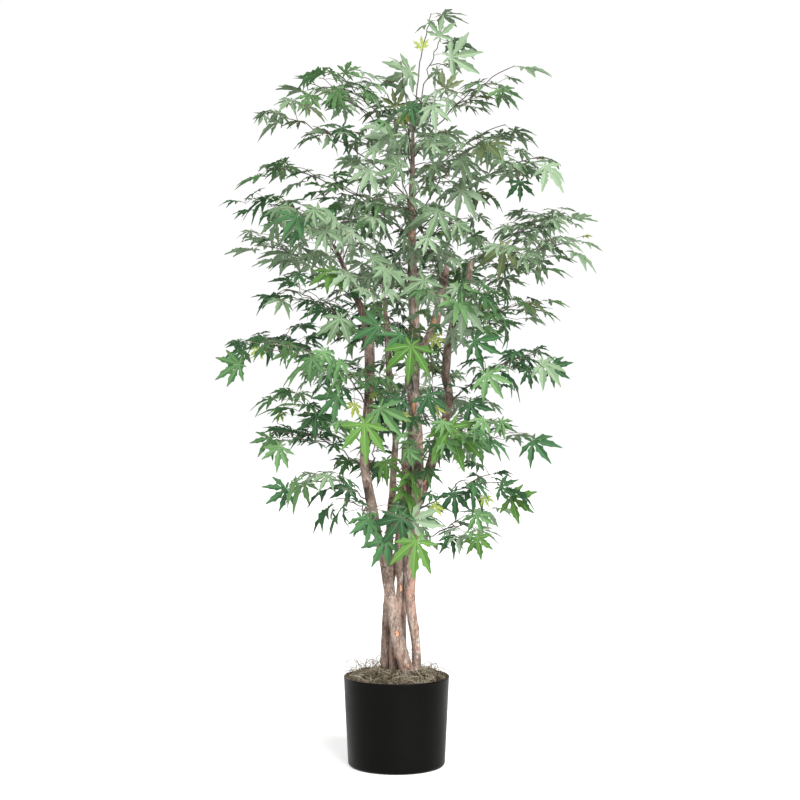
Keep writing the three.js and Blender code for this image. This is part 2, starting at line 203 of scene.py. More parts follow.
def turned(bm, outline):
    """Spins an outline of (radius, height) round the Z axis into a closed skin."""
    points = [bm.verts.new((radius, 0, z)) for radius, z in outline]
    edges = [bm.edges.new(pair) for pair in zip(points, points[1:])]
    round_z = {"cent": (0, 0, 0), "axis": (0, 0, 1), "angle": 2 * math.pi, "steps": TURN_STEPS}
    bmesh.ops.spin(bm, geom=points + edges, use_merge=True, **round_z)
    bmesh.ops.remove_doubles(bm, verts=bm.verts, dist=0.01)
    bmesh.ops.recalc_face_normals(bm, faces=bm.faces)


def pot_outline():
    """From the middle of the underside out, up the wall, over the rim and down the inside to the middle."""
    wall = POT["wall"]
    corner = POT["round"]
    outline = list(UNDERSIDE)
    for step in range(ROUND_STEPS + 1):
        angle = math.radians(90 * step / ROUND_STEPS)
        inwards = corner * (1 - math.sin(angle))
        outline.append((pot_radius(corner) - inwards, corner * (1 - math.cos(angle))))
    outline += [(pot_radius(z), z) for z in WALL_ROWS]
    rim = POT["rim"]
    top = POT["height"]
    outline += [(rim + 0.3, top - 2.6), (rim + 0.1, top - 0.8), (rim - 0.8, top), (rim - wall + 0.8, top)]
    outline += [(rim - wall, top - 1), (pot_radius(150) - wall, 150), (pot_radius(corner) - wall, corner)]
    outline += [(pot_radius(corner) - wall - 6, POT["floor"]), (0, POT["floor"])]
    return outline


pot_shape = bmesh.new()
turned(pot_shape, pot_outline())

# %% [markdown]
# ## Finishes with a pattern
# Plastic, bark and moss are plain Principled shaders whose colour, roughness and relief follow noise. The
# noise reads Object coordinates, so it stays with the piece and needs no unwrapping. Each helper adds a
# node and returns its socket, so a finish reads as a list of layers.

# %% Helpers for finishes
def node(material, kind, **settings):
    """Adds a shader node, with its settings by attribute name."""
    made = material.node_tree.nodes.new(kind)
    for key, value in settings.items():
        setattr(made, key, value)
    return made


def pattern(material, scale, detail=3.0, stretch=(1, 1, 1), rough=0.5):
    """Noise on Object coordinates, with features about 1/scale metres apart. Returns its socket."""
    links = material.node_tree.links
    where = node(material, "ShaderNodeTexCoord")
    mapping = node(material, "ShaderNodeMapping")
    mapping.inputs["Scale"].default_value = stretch
    texture = node(material, "ShaderNodeTexNoise")
    texture.inputs["Scale"].default_value = scale
    texture.inputs["Detail"].default_value = detail
    texture.inputs["Roughness"].default_value = rough
    links.new(where.outputs["Object"], mapping.inputs["Vector"])
    links.new(mapping.outputs["Vector"], texture.inputs["Vector"])
    return texture.outputs["Fac"]


def ramp(material, socket, low, high, to_low=0.0, to_high=1.0):
    """Maps a socket's range from low to high onto another range, and clamps it."""
    made = node(material, "ShaderNodeMapRange")
    made.inputs["From Min"].default_value = low
    made.inputs["From Max"].default_value = high
    made.inputs["To Min"].default_value = to_low
    made.inputs["To Max"].default_value = to_high
    material.node_tree.links.new(socket, made.inputs["Value"])
    return made.outputs["Result"]


def blended(material, share, below, above):
    """A colour between two, each a colour or a socket, by a socket's share."""
    mix = node(material, "ShaderNodeMix", data_type="RGBA")
    links = material.node_tree.links
    links.new(share, mix.inputs["Factor"])
    for value, name in ((below, "A"), (above, "B")):
        socket = [s for s in mix.inputs if s.name == name and s.type == "RGBA"][0]
        if isinstance(value, tuple):
            socket.default_value = (*value, 1)
        else:
            links.new(value, socket)
    return [s for s in mix.outputs if s.type == "RGBA"][0]


def bumped(material, socket, strength, distance):
    """Raises the shader's normal by a height socket. The distance is in metres."""
    bump = node(material, "ShaderNodeBump")
    bump.inputs["Strength"].default_value = strength
    bump.inputs["Distance"].default_value = distance
    links = material.node_tree.links
    links.new(socket, bump.inputs["Height"])
    links.new(bump.outputs["Normal"], material.node_tree.nodes["Principled BSDF"].inputs["Normal"])


def link(material, socket, name):
    """Plugs a socket into the shader's input of that name."""
    material.node_tree.links.new(socket, material.node_tree.nodes["Principled BSDF"].inputs[name])


# %% [markdown]
# The plastic is satin rather than glossy. A faint large-scale waviness in the roughness keeps the long
# soft reflection on its side from looking ruled, and a fine grain breaks it up close to.

# %% Pot finish
POT_BLACK = (0.0013, 0.0013, 0.0010)
POT_HAZE = (0.0024, 0.0023, 0.0019)

satin = {"Specular_IOR_Level": 0.06, "Sheen_Weight": 0.06, "Sheen_Roughness": 0.3}
black_plastic = surface("black_plastic", POT_BLACK, 0.4, **satin)
haze = pattern(black_plastic, 9, detail=2)
link(black_plastic, ramp(black_plastic, haze, 0.3, 0.7, 0.36, 0.5), "Roughness")
link(black_plastic, blended(black_plastic, haze, POT_BLACK, POT_HAZE), "Base Color")
bumped(black_plastic, pattern(black_plastic, 900, detail=2), 0.25, 0.0003)
pot = place(pot_shape, "pot_shell", black_plastic)
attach(pot, "root")
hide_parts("pot")

# %% [markdown]
# ## Filling
# The stems are set in a packed core under the moss. It doesn't show, so the CAD node stays, with a rough
# brown finish.

# %% Filling finish
FILLING_BROWN = (0.2, 0.17, 0.14)
CRUMB_DARK = (0.1, 0.08, 0.06)
CRUMB_PALE = (0.3, 0.25, 0.2)

filling = surface("packed_filling", FILLING_BROWN, 0.95)
crumbs = pattern(filling, 160, detail=4)
link(filling, blended(filling, crumbs, CRUMB_DARK, CRUMB_PALE), "Base Color")
bumped(filling, crumbs, 0.8, 0.003)
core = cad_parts["core"]
core.data.materials.clear()
core.data.materials.append(filling)

# %% [markdown]
# ## Stems and boughs
# Five natural stems lean on one another, and the thick front one forks. Each is stated as in the CAD
# source, by rows of height, place and radius, and a smooth cubic runs through them. The solids are plain
# tubes; here each gets the relief of its bark, because light from the front shows every ridge and old cut
# along a bare stem.

# %% Limbs by name
GAP = 0.3
FORK = 530
# Rows of [height, x, y, radius].
LIMBS = {
    "stem_left": [
        (GROUND, 34, -32, 17.5),
        (300, 6, -30, 16.5),
        (386, -10, -26, 14),
        (460, -22, -22, 14),
        (FORK, -29, -18, 15.5),
    ],
    "bough_left_outer": [
        (FORK + GAP, -38, -18, 9.5),
        (620, -57, -22, 12),
        (740, -77, -26, 11.5),
        (890, -67, -24, 11.5),
        (1040, -67, -18, 12),
        (1110, -86, -12, 9),
        (1265, -152, -4, 5),
    ],
    "bough_left_inner": [
        (FORK + GAP, -18, -17, 9),
        (630, -12, -8, 9.5),
        (765, -4, -4, 7.5),
        (812, -1, 0, 8.5),
        (880, -13, 4, 7.5),
        (1040, -23, 8, 6.5),
        (1180, -34, 12, 4),
    ],
    "stem_sawn": [
        (GROUND, -7, 12, 11.5),
        (304, -6, 9, 10),
        (425, 9, 6, 9.5),
        (540, 5, 2, 9),
        (670, 18, 1, 9),
        (785, 24, 0, 9.5),
    ],
    "stem_right": [
        (GROUND, 45, 12, 13),
        (274, 49, 8, 11),
        (372, 36, 2, 12.5),
        (425, 33, -2, 13),
        (571, 42, -7, 12),
        (717, 52, -9, 14),
        (861, 46, -10, 13.5),
        (941, 37, -9, 16),
        (1000, 57, -10, 10),
        (1080, 95, -10, 12),
        (1253, 130, -2, 5),
    ],
    "stem_leader": [
        (GROUND, 10, 62, 14),
        (450, 14, 58, 12.5),
        (700, 33, 42, 12),
        (1009, 46, 26, 12),
        (1155, 40, 14, 12),
        (1325, 37, 4, 9),
        (1471, 39, 0, 5),
        (1570, 40, 0, 3.5),
    ],
    "stem_right_outer": [
        (GROUND, -28, 34, 12.5),
        (401, -21, 40, 10.5),
        (486, -4, 31, 11),
        (571, 28, 24, 11.5),
        (676, 67, 17, 12.5),
        (780, 99, 8, 12.5),
        (880, 128, 2, 10),
        (956, 120, 0, 10),
        (1070, 136, 2, 9),
        (1167, 172, 4, 8),
        (1230, 182, 6, 5.5),
    ],
}

print("limbs:", len(LIMBS), "with rows:", sum(len(rows) for rows in LIMBS.values()))


# %% A limb's place at a height
def limb_at(rows, z):
    """[x, y, radius] of a limb at each height, by a cubic whose slopes run from neighbour to neighbour."""
    table = np.array(rows, float)
    z = np.atleast_1d(np.asarray(z, float))
    last = len(table) - 1
    before = np.maximum(np.arange(last + 1) - 1, 0)
    after = np.minimum(np.arange(last + 1) + 1, last)
    slope = (table[after, 1:] - table[before, 1:]) / (table[after, :1] - table[before, :1])
    at = np.clip(np.searchsorted(table[:, 0], z, side="right") - 1, 0, last - 1)
    span = (table[at + 1, 0] - table[at, 0])[:, None]
    s = np.clip((z - table[at, 0])[:, None] / span, 0, 1)
    return (
        table[at, 1:] * (1 + 2 * s) * (1 - s) ** 2
        + table[at + 1, 1:] * s * s * (3 - 2 * s)
        + slope[at] * span * s * (1 - s) ** 2
        - slope[at + 1] * span * s * s * (1 - s)
    )


def gap_to(points, rows):
    """How far each point is from a limb's skin at its own height. Inside the limb it is less than 0."""
    course = limb_at(rows, points[:, 2])
    return np.hypot(points[:, 0] - course[:, 0], points[:, 1] - course[:, 1]) - course[:, 2]


print("the leader at 1 m:", limb_at(LIMBS["stem_leader"], 1000)[0].round(1))

# %% [markdown]
# The bark is smooth like a fruit tree's, so its relief is low: slow swellings, ridges drawn out along the
# stem and small pits. Knots swell where a branch was cut off, with a dark hollow in the middle, and
# narrow dark collars run round a bough where it was tied while it grew. Orange scars are where the outer
# bark was scraped off. The mesh carries the scars and the dark places as attributes, for the finish to
# read. The dark places include painted shade: in the crevices between stems, and under the crown.

# %% Knots, scars and collars
BARK = {"sides": 40, "step": 4.0, "swelling": 1.2, "ridges": 0.95, "pits": 0.5}
# Each unevenness: [size across the limb, size along it, then the noise's fading, spacing and octaves].
UNEVEN = {
    "swelling": (26, 60, 0.9, 2.0, 3),
    "ridges": (5.5, 38, 0.8, 2.1, 3),
    # Large dark patches: partly stains, partly painted shade under the crown.
    "stains_and_shade": (34, 62, 0.85, 2.1, 4),
}
# The size of a pit along X, Y and Z.
PIT = (3.2, 3.2, 5)
# Knots and scars: [height, degrees round the stem, where -90 faces the viewer, half width, half height].
KNOTS = {
    "stem_left": [(516, 178, 9, 11), (283, -60, 6, 8), (452, -20, 6, 8)],
    "bough_left_outer": [(648, -150, 7, 8), (842, -40, 6, 7), (1092, 20, 8, 9)],
    "bough_left_inner": [(806, 200, 7, 9), (905, -80, 5, 6)],
    "stem_sawn": [(735, 170, 6, 8), (500, -110, 5, 7)],
    "stem_right": [
        (948, -30, 9, 9),
        (702, -120, 7, 9),
        (560, -60, 6, 8),
        (1078, -100, 7, 8),
        (332, -20, 5, 7),
    ],
    "stem_leader": [(820, -90, 7, 9), (1120, -70, 7, 8), (520, 60, 7, 8)],
    "stem_right_outer": [(774, -50, 10, 9), (432, -150, 6, 8), (948, -130, 7, 7), (1066, -80, 9, 7)],
}
SCARS = {
    "stem_left": [(327, -84, 5, 12), (248, -62, 3.5, 10)],
    "bough_left_outer": [(1084, -72, 9, 15)],
    "bough_left_inner": [(676, -84, 3, 14)],
    "stem_sawn": [(268, -82, 5, 19), (430, -80, 3, 12)],
    "stem_right": [(868, -106, 7, 17), (1078, -92, 9, 13), (560, -118, 4, 17)],
    "stem_leader": [(1290, -90, 5, 16)],
    "stem_right_outer": [(838, -98, 6, 9), (690, -96, 4, 15)],
}
# Collars: [height, rise from one side to the other].
COLLARS = {
    "stem_left": [(486, 6)],
    "bough_left_outer": [(573, -7), (596, 5), (752, -4), (930, 5)],
    "bough_left_inner": [(838, 4), (648, -3)],
    "stem_sawn": [(640, 3)],
    "stem_right": [(744, -5), (962, 6), (1052, 5)],
    "stem_right_outer": [(742, 5), (905, -4)],
}
KNOT = {"height": 3.2, "spread": 1.1, "hollow": 1.25, "hollow_spread": 9}
SCAR_SHAPE = {"depth": 0.7, "ragged": 0.35, "lip": 0.8, "lip_at": 1.12, "lip_spread": 28}
COLLAR = {"half": 2.2, "depth": 1.1}
# Dark patches, partly stains and partly painted shade under the crown: faint low down and growing to full
# strength between two heights.
STAIN_AND_CROWN_SHADE = {"strength": 1.5, "base": 0.1, "between": (420, 640), "shares": (0.25, 1)}
# Where two stems lie against each other, the crevice between them is darkened as painted shade.
PAINTED_CREVICE_SHADE = {"reach": 8, "shade": 1.3}
# The attributes that the finish reads.
SCAR = "scar"
SHADE = "shade"
# What a place far from every knot or scar measures.
FAR_OFF = 9.0
print("knots:", sum(map(len, KNOTS.values())), "scars:", sum(map(len, SCARS.values())))


# %% Relief
def spot(z, angle, radius, spots):
    """How near a place on a limb is to the nearest spot: 0 in its middle, 1 on its edge, more outside."""
    nearest = FAR_OFF
    for height, degrees, wide, tall in spots:
        turn = math.remainder(angle - math.radians(degrees), 2 * math.pi)
        nearest = min(nearest, math.hypot(turn * radius / wide, (z - height) / tall))
    return nearest


def uneven(point, kind):
    """Noise drawn out along the limb."""
    across, along, *octaves = UNEVEN[kind]
    return noise.fractal(Vector((point.x / across, point.y / across, point.z / along)), *octaves)


def relief(point, z, angle, radius, name):
    """At one point of a limb: how high the bark stands, how far it is scraped off, and how dark it is,
    painted shade under the crown included.
    """
    pitted = noise.noise(Vector((point.x / PIT[0], point.y / PIT[1], point.z / PIT[2])))
    knot = spot(z, angle, radius, KNOTS[name])
    hollow = KNOT["hollow"] * math.exp(-KNOT["hollow_spread"] * knot * knot)
    swell = math.exp(-KNOT["spread"] * knot * knot) - hollow
    scar = spot(z, angle, radius, SCARS[name]) + SCAR_SHAPE["ragged"] * noise.noise(point / 6)
    bare = min(1.0, max(0.0, 1.5 - scar))
    lip = math.exp(-SCAR_SHAPE["lip_spread"] * (scar - SCAR_SHAPE["lip_at"]) ** 2)
    collar = 0.0
    for height, rise in COLLARS.get(name, ()):
        collar = max(collar, math.exp(-(((z - height - rise * math.cos(angle)) / COLLAR["half"]) ** 2)))
    ridges = BARK["ridges"] * uneven(point, "ridges") * (1 - 0.6 * bare)
    height = BARK["swelling"] * uneven(point, "swelling") + ridges + BARK["pits"] * pitted
    torn = SCAR_SHAPE["depth"] * (SCAR_SHAPE["lip"] * lip - bare)
    height += KNOT["height"] * swell + torn - COLLAR["depth"] * collar
    # Painted shade under the crown, with some staining: dark patches that grow stronger with height.
    stain_and_crown_shade = min(1.0, max(0.0, STAIN_AND_CROWN_SHADE["base"] + STAIN_AND_CROWN_SHADE["strength"] * uneven(point, "stains_and_shade")))
    stain_and_crown_shade *= float(np.interp(z, STAIN_AND_CROWN_SHADE["between"], STAIN_AND_CROWN_SHADE["shares"]))
    return height, bare, max(collar, math.exp(-5 * knot * knot), stain_and_crown_shade)


def painted_crevice_shade(points, name):
    """How dark each point of a limb is painted from the limbs beside it, by the gap that is left to them:
    painted shade in the crevices.
    """
    dark = np.zeros(len(points))
    for other, rows in LIMBS.items():
        if other == name:
            continue
        gaps = np.maximum(gap_to(points, rows), 0)
        beside = (points[:, 2] > rows[0][0] - PAINTED_CREVICE_SHADE["reach"]) & (points[:, 2] < rows[-1][0])
        dark = np.maximum(dark, beside * PAINTED_CREVICE_SHADE["shade"] * np.exp(-gaps / PAINTED_CREVICE_SHADE["reach"]))
    return np.minimum(dark, 1)


# %% [markdown]
# A limb starts as one circle. Spun with no turn and a step up, it becomes a straight tube of level rings,
# and each ring is then moved to the limb's place and size at its height. Boughs run on down into the stem
# that carries them, and the front stem closes in a saddle between its two, so the fork grows out of one
# piece.

# %% Limb meshes
# A bough's foot starts this far below the fork, inside the stem, at a share of the stem's radius.
FOOT = {"below": 62, "share": 0.62, "joins": 8, "apart": 1}
SADDLE = {"rise": 14, "radius": 5}
# How far the stems run down into the filling.
BURIED = 4
# A limb that ends among the leaves thins to a share of its radius, over a length.
POINTED = {"share": 0.45, "over": 14}
# Limbs thinner than this radius have less relief.
FULL_RELIEF = 9
# Limbs that end at full width: the one that forks and the sawn one.
BLUNT = ("stem_left", "stem_sawn")


def limb_rows(name):
    """The limb's rows with its foot carried on into the stem it forks from."""
    rows = list(LIMBS[name])
    if name.startswith("bough"):
        low = FORK - FOOT["below"]
        x, y, radius = limb_at(LIMBS["stem_left"], low)[0]
        rows.insert(0, (low, x, y, FOOT["share"] * radius))
        aside = FOOT["apart"] if "outer" in name else -FOOT["apart"]
        rows[1] = (FORK - FOOT["joins"], rows[1][1] + aside, *rows[1][2:])
    if name == "stem_left":
        x, y = rows[-1][1:3]
        rows.append((FORK + SADDLE["rise"], x, y, SADDLE["radius"]))
    return rows


def limb_shape(name):
    """A limb's closed skin with its relief, and the scars and dark places, painted shade among them, as
    attributes.
    """
    rows = limb_rows(name)
    low = rows[0][0] - (BURIED if rows[0][0] == GROUND else 0)
    high = rows[-1][0]
    steps = round((high - low) / BARK["step"])
    bm = bmesh.new()
    ring = bmesh.ops.create_circle(bm, cap_ends=True, segments=BARK["sides"], radius=1)["verts"]
    edges = [edge for edge in bm.edges if edge.verts[0] in ring]
    upwards = {"cent": (0, 0, 0), "axis": (0, 0, 1), "angle": 0, "dvec": (0, 0, 1), "steps": steps}
    top = bmesh.ops.spin(bm, geom=edges, use_merge=False, **upwards)["geom_last"]
    bmesh.ops.edgeloop_fill(bm, edges=[part for part in top if isinstance(part, bmesh.types.BMEdge)])
    bare_layer = bm.verts.layers.float.new(SCAR)
    shade_layer = bm.verts.layers.float.new(SHADE)
    heights = low + (high - low) * np.arange(steps + 1) / steps
    course = limb_at(rows, heights)
    for vertex in bm.verts:
        level = round(vertex.co.z)
        x, y, radius = course[level]
        z = heights[level]
        if name not in BLUNT:
            radius *= min(1.0, POINTED["share"] + (high - z) / POINTED["over"])
        angle = math.atan2(vertex.co.y, vertex.co.x)
        point = Vector((x + vertex.co.x * radius, y + vertex.co.y * radius, z))
        rise, bare, shade = relief(point, z, angle, radius, name)
        scale = 1 + rise * min(1.0, radius / FULL_RELIEF) / radius
        vertex.co = (x + vertex.co.x * radius * scale, y + vertex.co.y * radius * scale, z)
        vertex[bare_layer] = bare
        vertex[shade_layer] = shade
    # Painted shade: the crevices where stems lie against each other are darkened through the shade
    # attribute.
    crevice_shade = painted_crevice_shade(np.array([vertex.co for vertex in bm.verts]), name)
    for vertex, dark in zip(bm.verts, crevice_shade):
        vertex[shade_layer] = max(vertex[shade_layer], dark)
    bmesh.ops.recalc_face_normals(bm, faces=bm.faces)
    return bm


# %% [markdown]
# ## Bark finish
# Close to, the bark is a patchwork: grey-tan, pinkish where the thin outer skin has gone, brown in
# mottles, nearly black in the cracks and nearly white where lichen grew. Noise drawn out along the stem
# mixes the browns, and the lichen is patches broken up by flecks. The mesh's scar attribute, roughened by
# noise so that its edge is ragged, lets the orange wood through.

# %% Bark material
BARK_GREY = (0.315, 0.236, 0.190)
BARK_PINK = (0.352, 0.208, 0.162)
BARK_BROWN = (0.100, 0.062, 0.046)
BARK_DARK = (0.026, 0.017, 0.013)
BARK_LICHEN = (0.52, 0.50, 0.46)
BARE_WOOD = (0.62, 0.33, 0.195)
BARE_DARK = (0.33, 0.155, 0.092)


def arithmetic(material, operation, first, second):
    """A Math node of two sockets or numbers. Returns its value."""
    made = node(material, "ShaderNodeMath", operation=operation)
    for k, value in enumerate((first, second)):
        if isinstance(value, (int, float)):
            made.inputs[k].default_value = value
        else:
            material.node_tree.links.new(value, made.inputs[k])
    return made.outputs["Value"]


def bark_material(name, pinkness, lichen):
    """Bark whose pink share and amount of lichen differ from stem to stem."""
    bark = surface(name, BARK_GREY, 0.85, Specular_IOR_Level=0.2)
    blotches = pattern(bark, 26, detail=4, stretch=(1, 1, 0.5))
    blotches = ramp(bark, blotches, 0.64 - pinkness, 0.84 - pinkness)
    color = blended(bark, blotches, BARK_GREY, BARK_PINK)
    # Large brown patches, partly stains and partly painted shade.
    stains_and_shade = ramp(bark, pattern(bark, 19, detail=5, stretch=(1, 1, 0.55), rough=0.7), 0.5, 0.66, 0, 0.8)
    color = blended(bark, stains_and_shade, color, BARK_BROWN)
    mottle = pattern(bark, 85, detail=7, stretch=(1, 1, 0.4), rough=0.75)
    color = blended(bark, ramp(bark, mottle, 0.44, 0.62, 0, 0.9), color, BARK_BROWN)
    specks = pattern(bark, 260, detail=4, stretch=(1, 1, 0.45), rough=0.6)
    color = blended(bark, ramp(bark, specks, 0.46, 0.34, 0, 0.5), color, BARK_LICHEN)
    grain = pattern(bark, 300, detail=5, stretch=(1, 1, 0.12), rough=0.7)
    color = blended(bark, ramp(bark, grain, 0.53, 0.68, 0, 0.85), color, BARK_DARK)
    patches = pattern(bark, 27, detail=7, stretch=(1, 1, 0.7), rough=0.75)
    patches = ramp(bark, patches, 0.68 - lichen, 0.76 - lichen)
    flecks = ramp(bark, specks, 0.6, 0.46)
    color = blended(bark, arithmetic(bark, "MULTIPLY", patches, flecks), color, BARK_LICHEN)
    # The shade attribute darkens the bark: painted shade in the crevices and under the crown, and the dark
    # collars and knots.
    shade = node(bark, "ShaderNodeAttribute", attribute_name=SHADE)
    color = blended(bark, ramp(bark, shade.outputs["Fac"], 0.2, 0.9, 0, 0.85), color, BARK_DARK)
    scar = node(bark, "ShaderNodeAttribute", attribute_name=SCAR)
    rough = ramp(bark, pattern(bark, 210, detail=4, stretch=(1, 1, 0.3)), 0.3, 0.7, -0.35, 0.35)
    ragged = arithmetic(bark, "ADD", scar.outputs["Fac"], rough)
    wood = blended(bark, ramp(bark, mottle, 0.42, 0.6), BARE_WOOD, BARE_DARK)
    color = blended(bark, ramp(bark, ragged, 0.42, 0.6, 0, 0.8), color, BARK_BROWN)
    color = blended(bark, ramp(bark, ragged, 0.66, 0.86, 0, 0.95), color, wood)
    link(bark, color, "Base Color")
    bumped(bark, arithmetic(bark, "ADD", grain, mottle), 0.7, 0.0018)
    return bark


PINKNESS = {"stem_sawn": 0.26, "stem_right": 0.22, "bough_left_inner": 0.2, "stem_left": 0.1}
LICHEN = {"stem_right": 0.14, "bough_left_inner": 0.13, "stem_left": 0.07}
for name in LIMBS:
    finish = bark_material("bark_of_" + name, PINKNESS.get(name, 0.15), LICHEN.get(name, 0.1))
    stem = place(limb_shape(name), name + "_bark", finish)
    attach(stem, "root")
    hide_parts(name)

# %% [markdown]
# ## Moss
# Dried moss hides the filling: a low lumpy mound of curled grey-brown strands, some of which spring up
# over the rim. The mound gives the mass and its hollows. The strands are what the eye reads as moss, so
# they are real tubes, each walking on from the mound with its own slowly turning curl.

# %% Moss mound
MOSS = {"edge": -4, "crown": 22, "inside": 124.2, "lump": 6.5, "lump_size": 17, "rings": 34, "thick": 5}
MOSS_SEED = 3.1
BED_TONE = (0.15, 0.125, 0.09)
# Painted shade: nearly black in the gaps of the tangle, between the strands.
BED_GAP_SHADE = (0.022, 0.017, 0.011)
BED_TONES = ((0.13, 0.105, 0.07), (0.20, 0.17, 0.12))


def mound_at(x, y):
    """The mound's height at a place, lumps and all."""
    share = min(1.0, math.hypot(x, y) / MOSS["inside"])
    swell = MOSS["edge"] + (MOSS["crown"] - MOSS["edge"]) * math.cos(math.pi / 2 * share**3)
    lumps = noise.fractal(Vector((x / MOSS["lump_size"], y / MOSS["lump_size"], MOSS_SEED)), 0.8, 2.1, 4)
    return GROUND + swell + MOSS["lump"] * lumps * (1.05 - 0.55 * share)


mound = bmesh.new()
inside = MOSS["inside"]
under = GROUND + 1
over = under + MOSS["thick"]
outline = [(0, under), (inside, under)]
outline += [(inside * (1 - ring / MOSS["rings"]), over) for ring in range(MOSS["rings"])]
outline.append((0, over))
turned(mound, outline)
for vertex in mound.verts:
    if vertex.co.z > under + MOSS["thick"] / 2:
        vertex.co.z = mound_at(vertex.co.x, vertex.co.y)
bmesh.ops.recalc_face_normals(mound, faces=mound.faces)

moss_bed = surface("moss_bed", BED_TONE, 1.0, Specular_IOR_Level=0.1)
tangle = pattern(moss_bed, 330, detail=5, rough=0.75)
tone = blended(moss_bed, pattern(moss_bed, 40, detail=3), *BED_TONES)
# The tangle's gaps are painted nearly black as shade between the strands.
color = blended(moss_bed, ramp(moss_bed, tangle, 0.42, 0.6), BED_GAP_SHADE, tone)
link(moss_bed, color, "Base Color")
bumped(moss_bed, tangle, 1.0, 0.006)
bed = place(mound, "moss_mound", moss_bed)
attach(bed, "root")
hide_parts("moss")

# %% [markdown]
# Hundreds of thin tubes are quickest as one joined mesh from arrays: a path is swept by a small ring that
# is carried along without twisting, and every path adds its rings and its two end caps to the same lists.

# %% Sweeping tubes
class Tubes:
    """Gathers thin tubes, each with one finish, and joins them into one piece."""

    def __init__(self):
        self.verts = []
        self.faces = []
        self.finishes = []
        self.count = 0

    def add(self, path, radii, sides, finish):
        """Sweeps a ring along a path, carried on without twisting, and closes both ends."""
        path = np.asarray(path, float)
        ahead = np.gradient(path, axis=0)
        ahead /= np.linalg.norm(ahead, axis=1)[:, None]
        side = np.cross(ahead[0], (0.3, 0.2, 1.0))
        turns = 2 * math.pi * np.arange(sides) / sides
        for point, forward, radius in zip(path, ahead, radii):
            side = side - forward * np.dot(side, forward)
            side /= np.linalg.norm(side)
            lift = np.cross(forward, side)
            ring = np.cos(turns)[:, None] * side + np.sin(turns)[:, None] * lift
            self.verts.append(point + radius * ring)
        start = self.count
        for k in range(len(path) - 1):
            low = start + k * sides
            for j in range(sides):
                after = (j + 1) % sides
                self.faces.append((low + j, low + after, low + sides + after, low + sides + j))
        end = start + (len(path) - 1) * sides
        self.faces.append(tuple(range(start + sides - 1, start - 1, -1)))
        self.faces.append(tuple(range(end, end + sides)))
        self.finishes += [finish] * ((len(path) - 1) * sides + 2)
        self.count += len(path) * sides

    def place(self, name, materials):
        return joined(name, np.concatenate(self.verts), self.faces, self.finishes, materials)


def joined(name, verts, faces, finishes, materials):
    """One object from arrays in millimetres, with a finish for each face."""
    mesh = bpy.data.meshes.new(name)
    mesh.from_pydata((verts * MM).tolist(), [], faces)
    for material in materials:
        mesh.materials.append(material)
    mesh.polygons.foreach_set("material_index", np.asarray(finishes, np.int32))
    mesh.update()
    return shown(mesh, name)


# %% [markdown]
# A strand walks in short steps and turns by the same angle at each, about an axis that drifts, so that it
# curls like a wood shaving. Most are pressed down to the mound; a few near the rim spring free.

# %% Moss strands
STRANDS = {"lying": 760, "springing": 240, "steps": 17, "pace": 4.2, "sides": 3}
CURL = (12, 38)
THICKNESS = (0.55, 1.05)
# How steeply a strand sets out and how far it may lift off the mound, by kind.
LYING = {"rise": (-0.1, 0.5), "lift": (2, 8), "curl": 1, "pace": 1, "radius": 1}
SPRINGING = {"rise": (0.3, 2.0), "lift": (16, 60), "curl": 0.6, "pace": 1.2, "radius": 0.8}
# Strands stay within the pot below its rim, and may hang a little way over it above.
RIM_ROOM = {"inside": -0.5, "over": 6, "from": 1.5}
MOSS_TONES = {
    "moss_pale": (0.36, 0.315, 0.24),
    "moss_grey": (0.22, 0.185, 0.13),
    "moss_brown": (0.125, 0.097, 0.062),
    "moss_dark": (0.050, 0.038, 0.025),
}
STRAND_SEED = 11

random = np.random.default_rng(STRAND_SEED)
strands = Tubes()
for k in range(STRANDS["lying"] + STRANDS["springing"]):
    springs = k >= STRANDS["lying"]
    kind = SPRINGING if springs else LYING
    bearing = random.uniform(0, 2 * math.pi)
    out = inside * (random.uniform(0.55, 0.97) if springs else math.sqrt(random.uniform(0.0, 0.88)))
    point = np.array([out * math.cos(bearing), out * math.sin(bearing), 0.0])
    point[2] = mound_at(point[0], point[1])
    ahead = np.append(random.normal(size=2), random.uniform(*kind["rise"]))
    axis = random.normal(size=3)
    curl = math.radians(random.uniform(*CURL)) * kind["curl"]
    lift = random.uniform(*kind["lift"])
    path = []
    for step in range(STRANDS["steps"]):
        ahead /= np.linalg.norm(ahead)
        axis = axis - ahead * np.dot(axis, ahead) + random.normal(size=3) * 0.25
        axis /= np.linalg.norm(axis)
        path.append(point)
        ahead = ahead * math.cos(curl) + np.cross(axis, ahead) * math.sin(curl)
        point = point + ahead * STRANDS["pace"] * kind["pace"]
        away = math.hypot(point[0], point[1])
        below_rim = point[2] < POT["height"] + RIM_ROOM["from"]
        limit = inside + (RIM_ROOM["inside"] if below_rim else RIM_ROOM["over"])
        point[:2] *= min(1.0, limit / max(away, 1e-6))
        bed_height = mound_at(point[0], point[1])
        point[2] = min(max(point[2], bed_height + 0.2), bed_height + lift)
    thick = random.uniform(*THICKNESS) * kind["radius"]
    radii = np.linspace(thick, 0.5 * thick, len(path))
    strands.add(path, radii, STRANDS["sides"], int(random.integers(0, len(MOSS_TONES))))
tones = [surface(name, tone, 0.95, Specular_IOR_Level=0.15) for name, tone in MOSS_TONES.items()]
curls = strands.place("moss_strands", tones)
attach(curls, "root")
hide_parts("moss")

# %% [markdown]
# ## Sprays
# A spray is one branch of the man-made foliage: a wire twig pushed into the wood, two side twigs and a
# few big leaves. The CAD source plants them by a seeded rule, and the same rule is written again here,
# with the same seeds and the same order of draws, so that every twig and large leaf falls where its solid
# is.

# %% The source's seeded numbers and headings
WORD = 0xFFFFFFFF


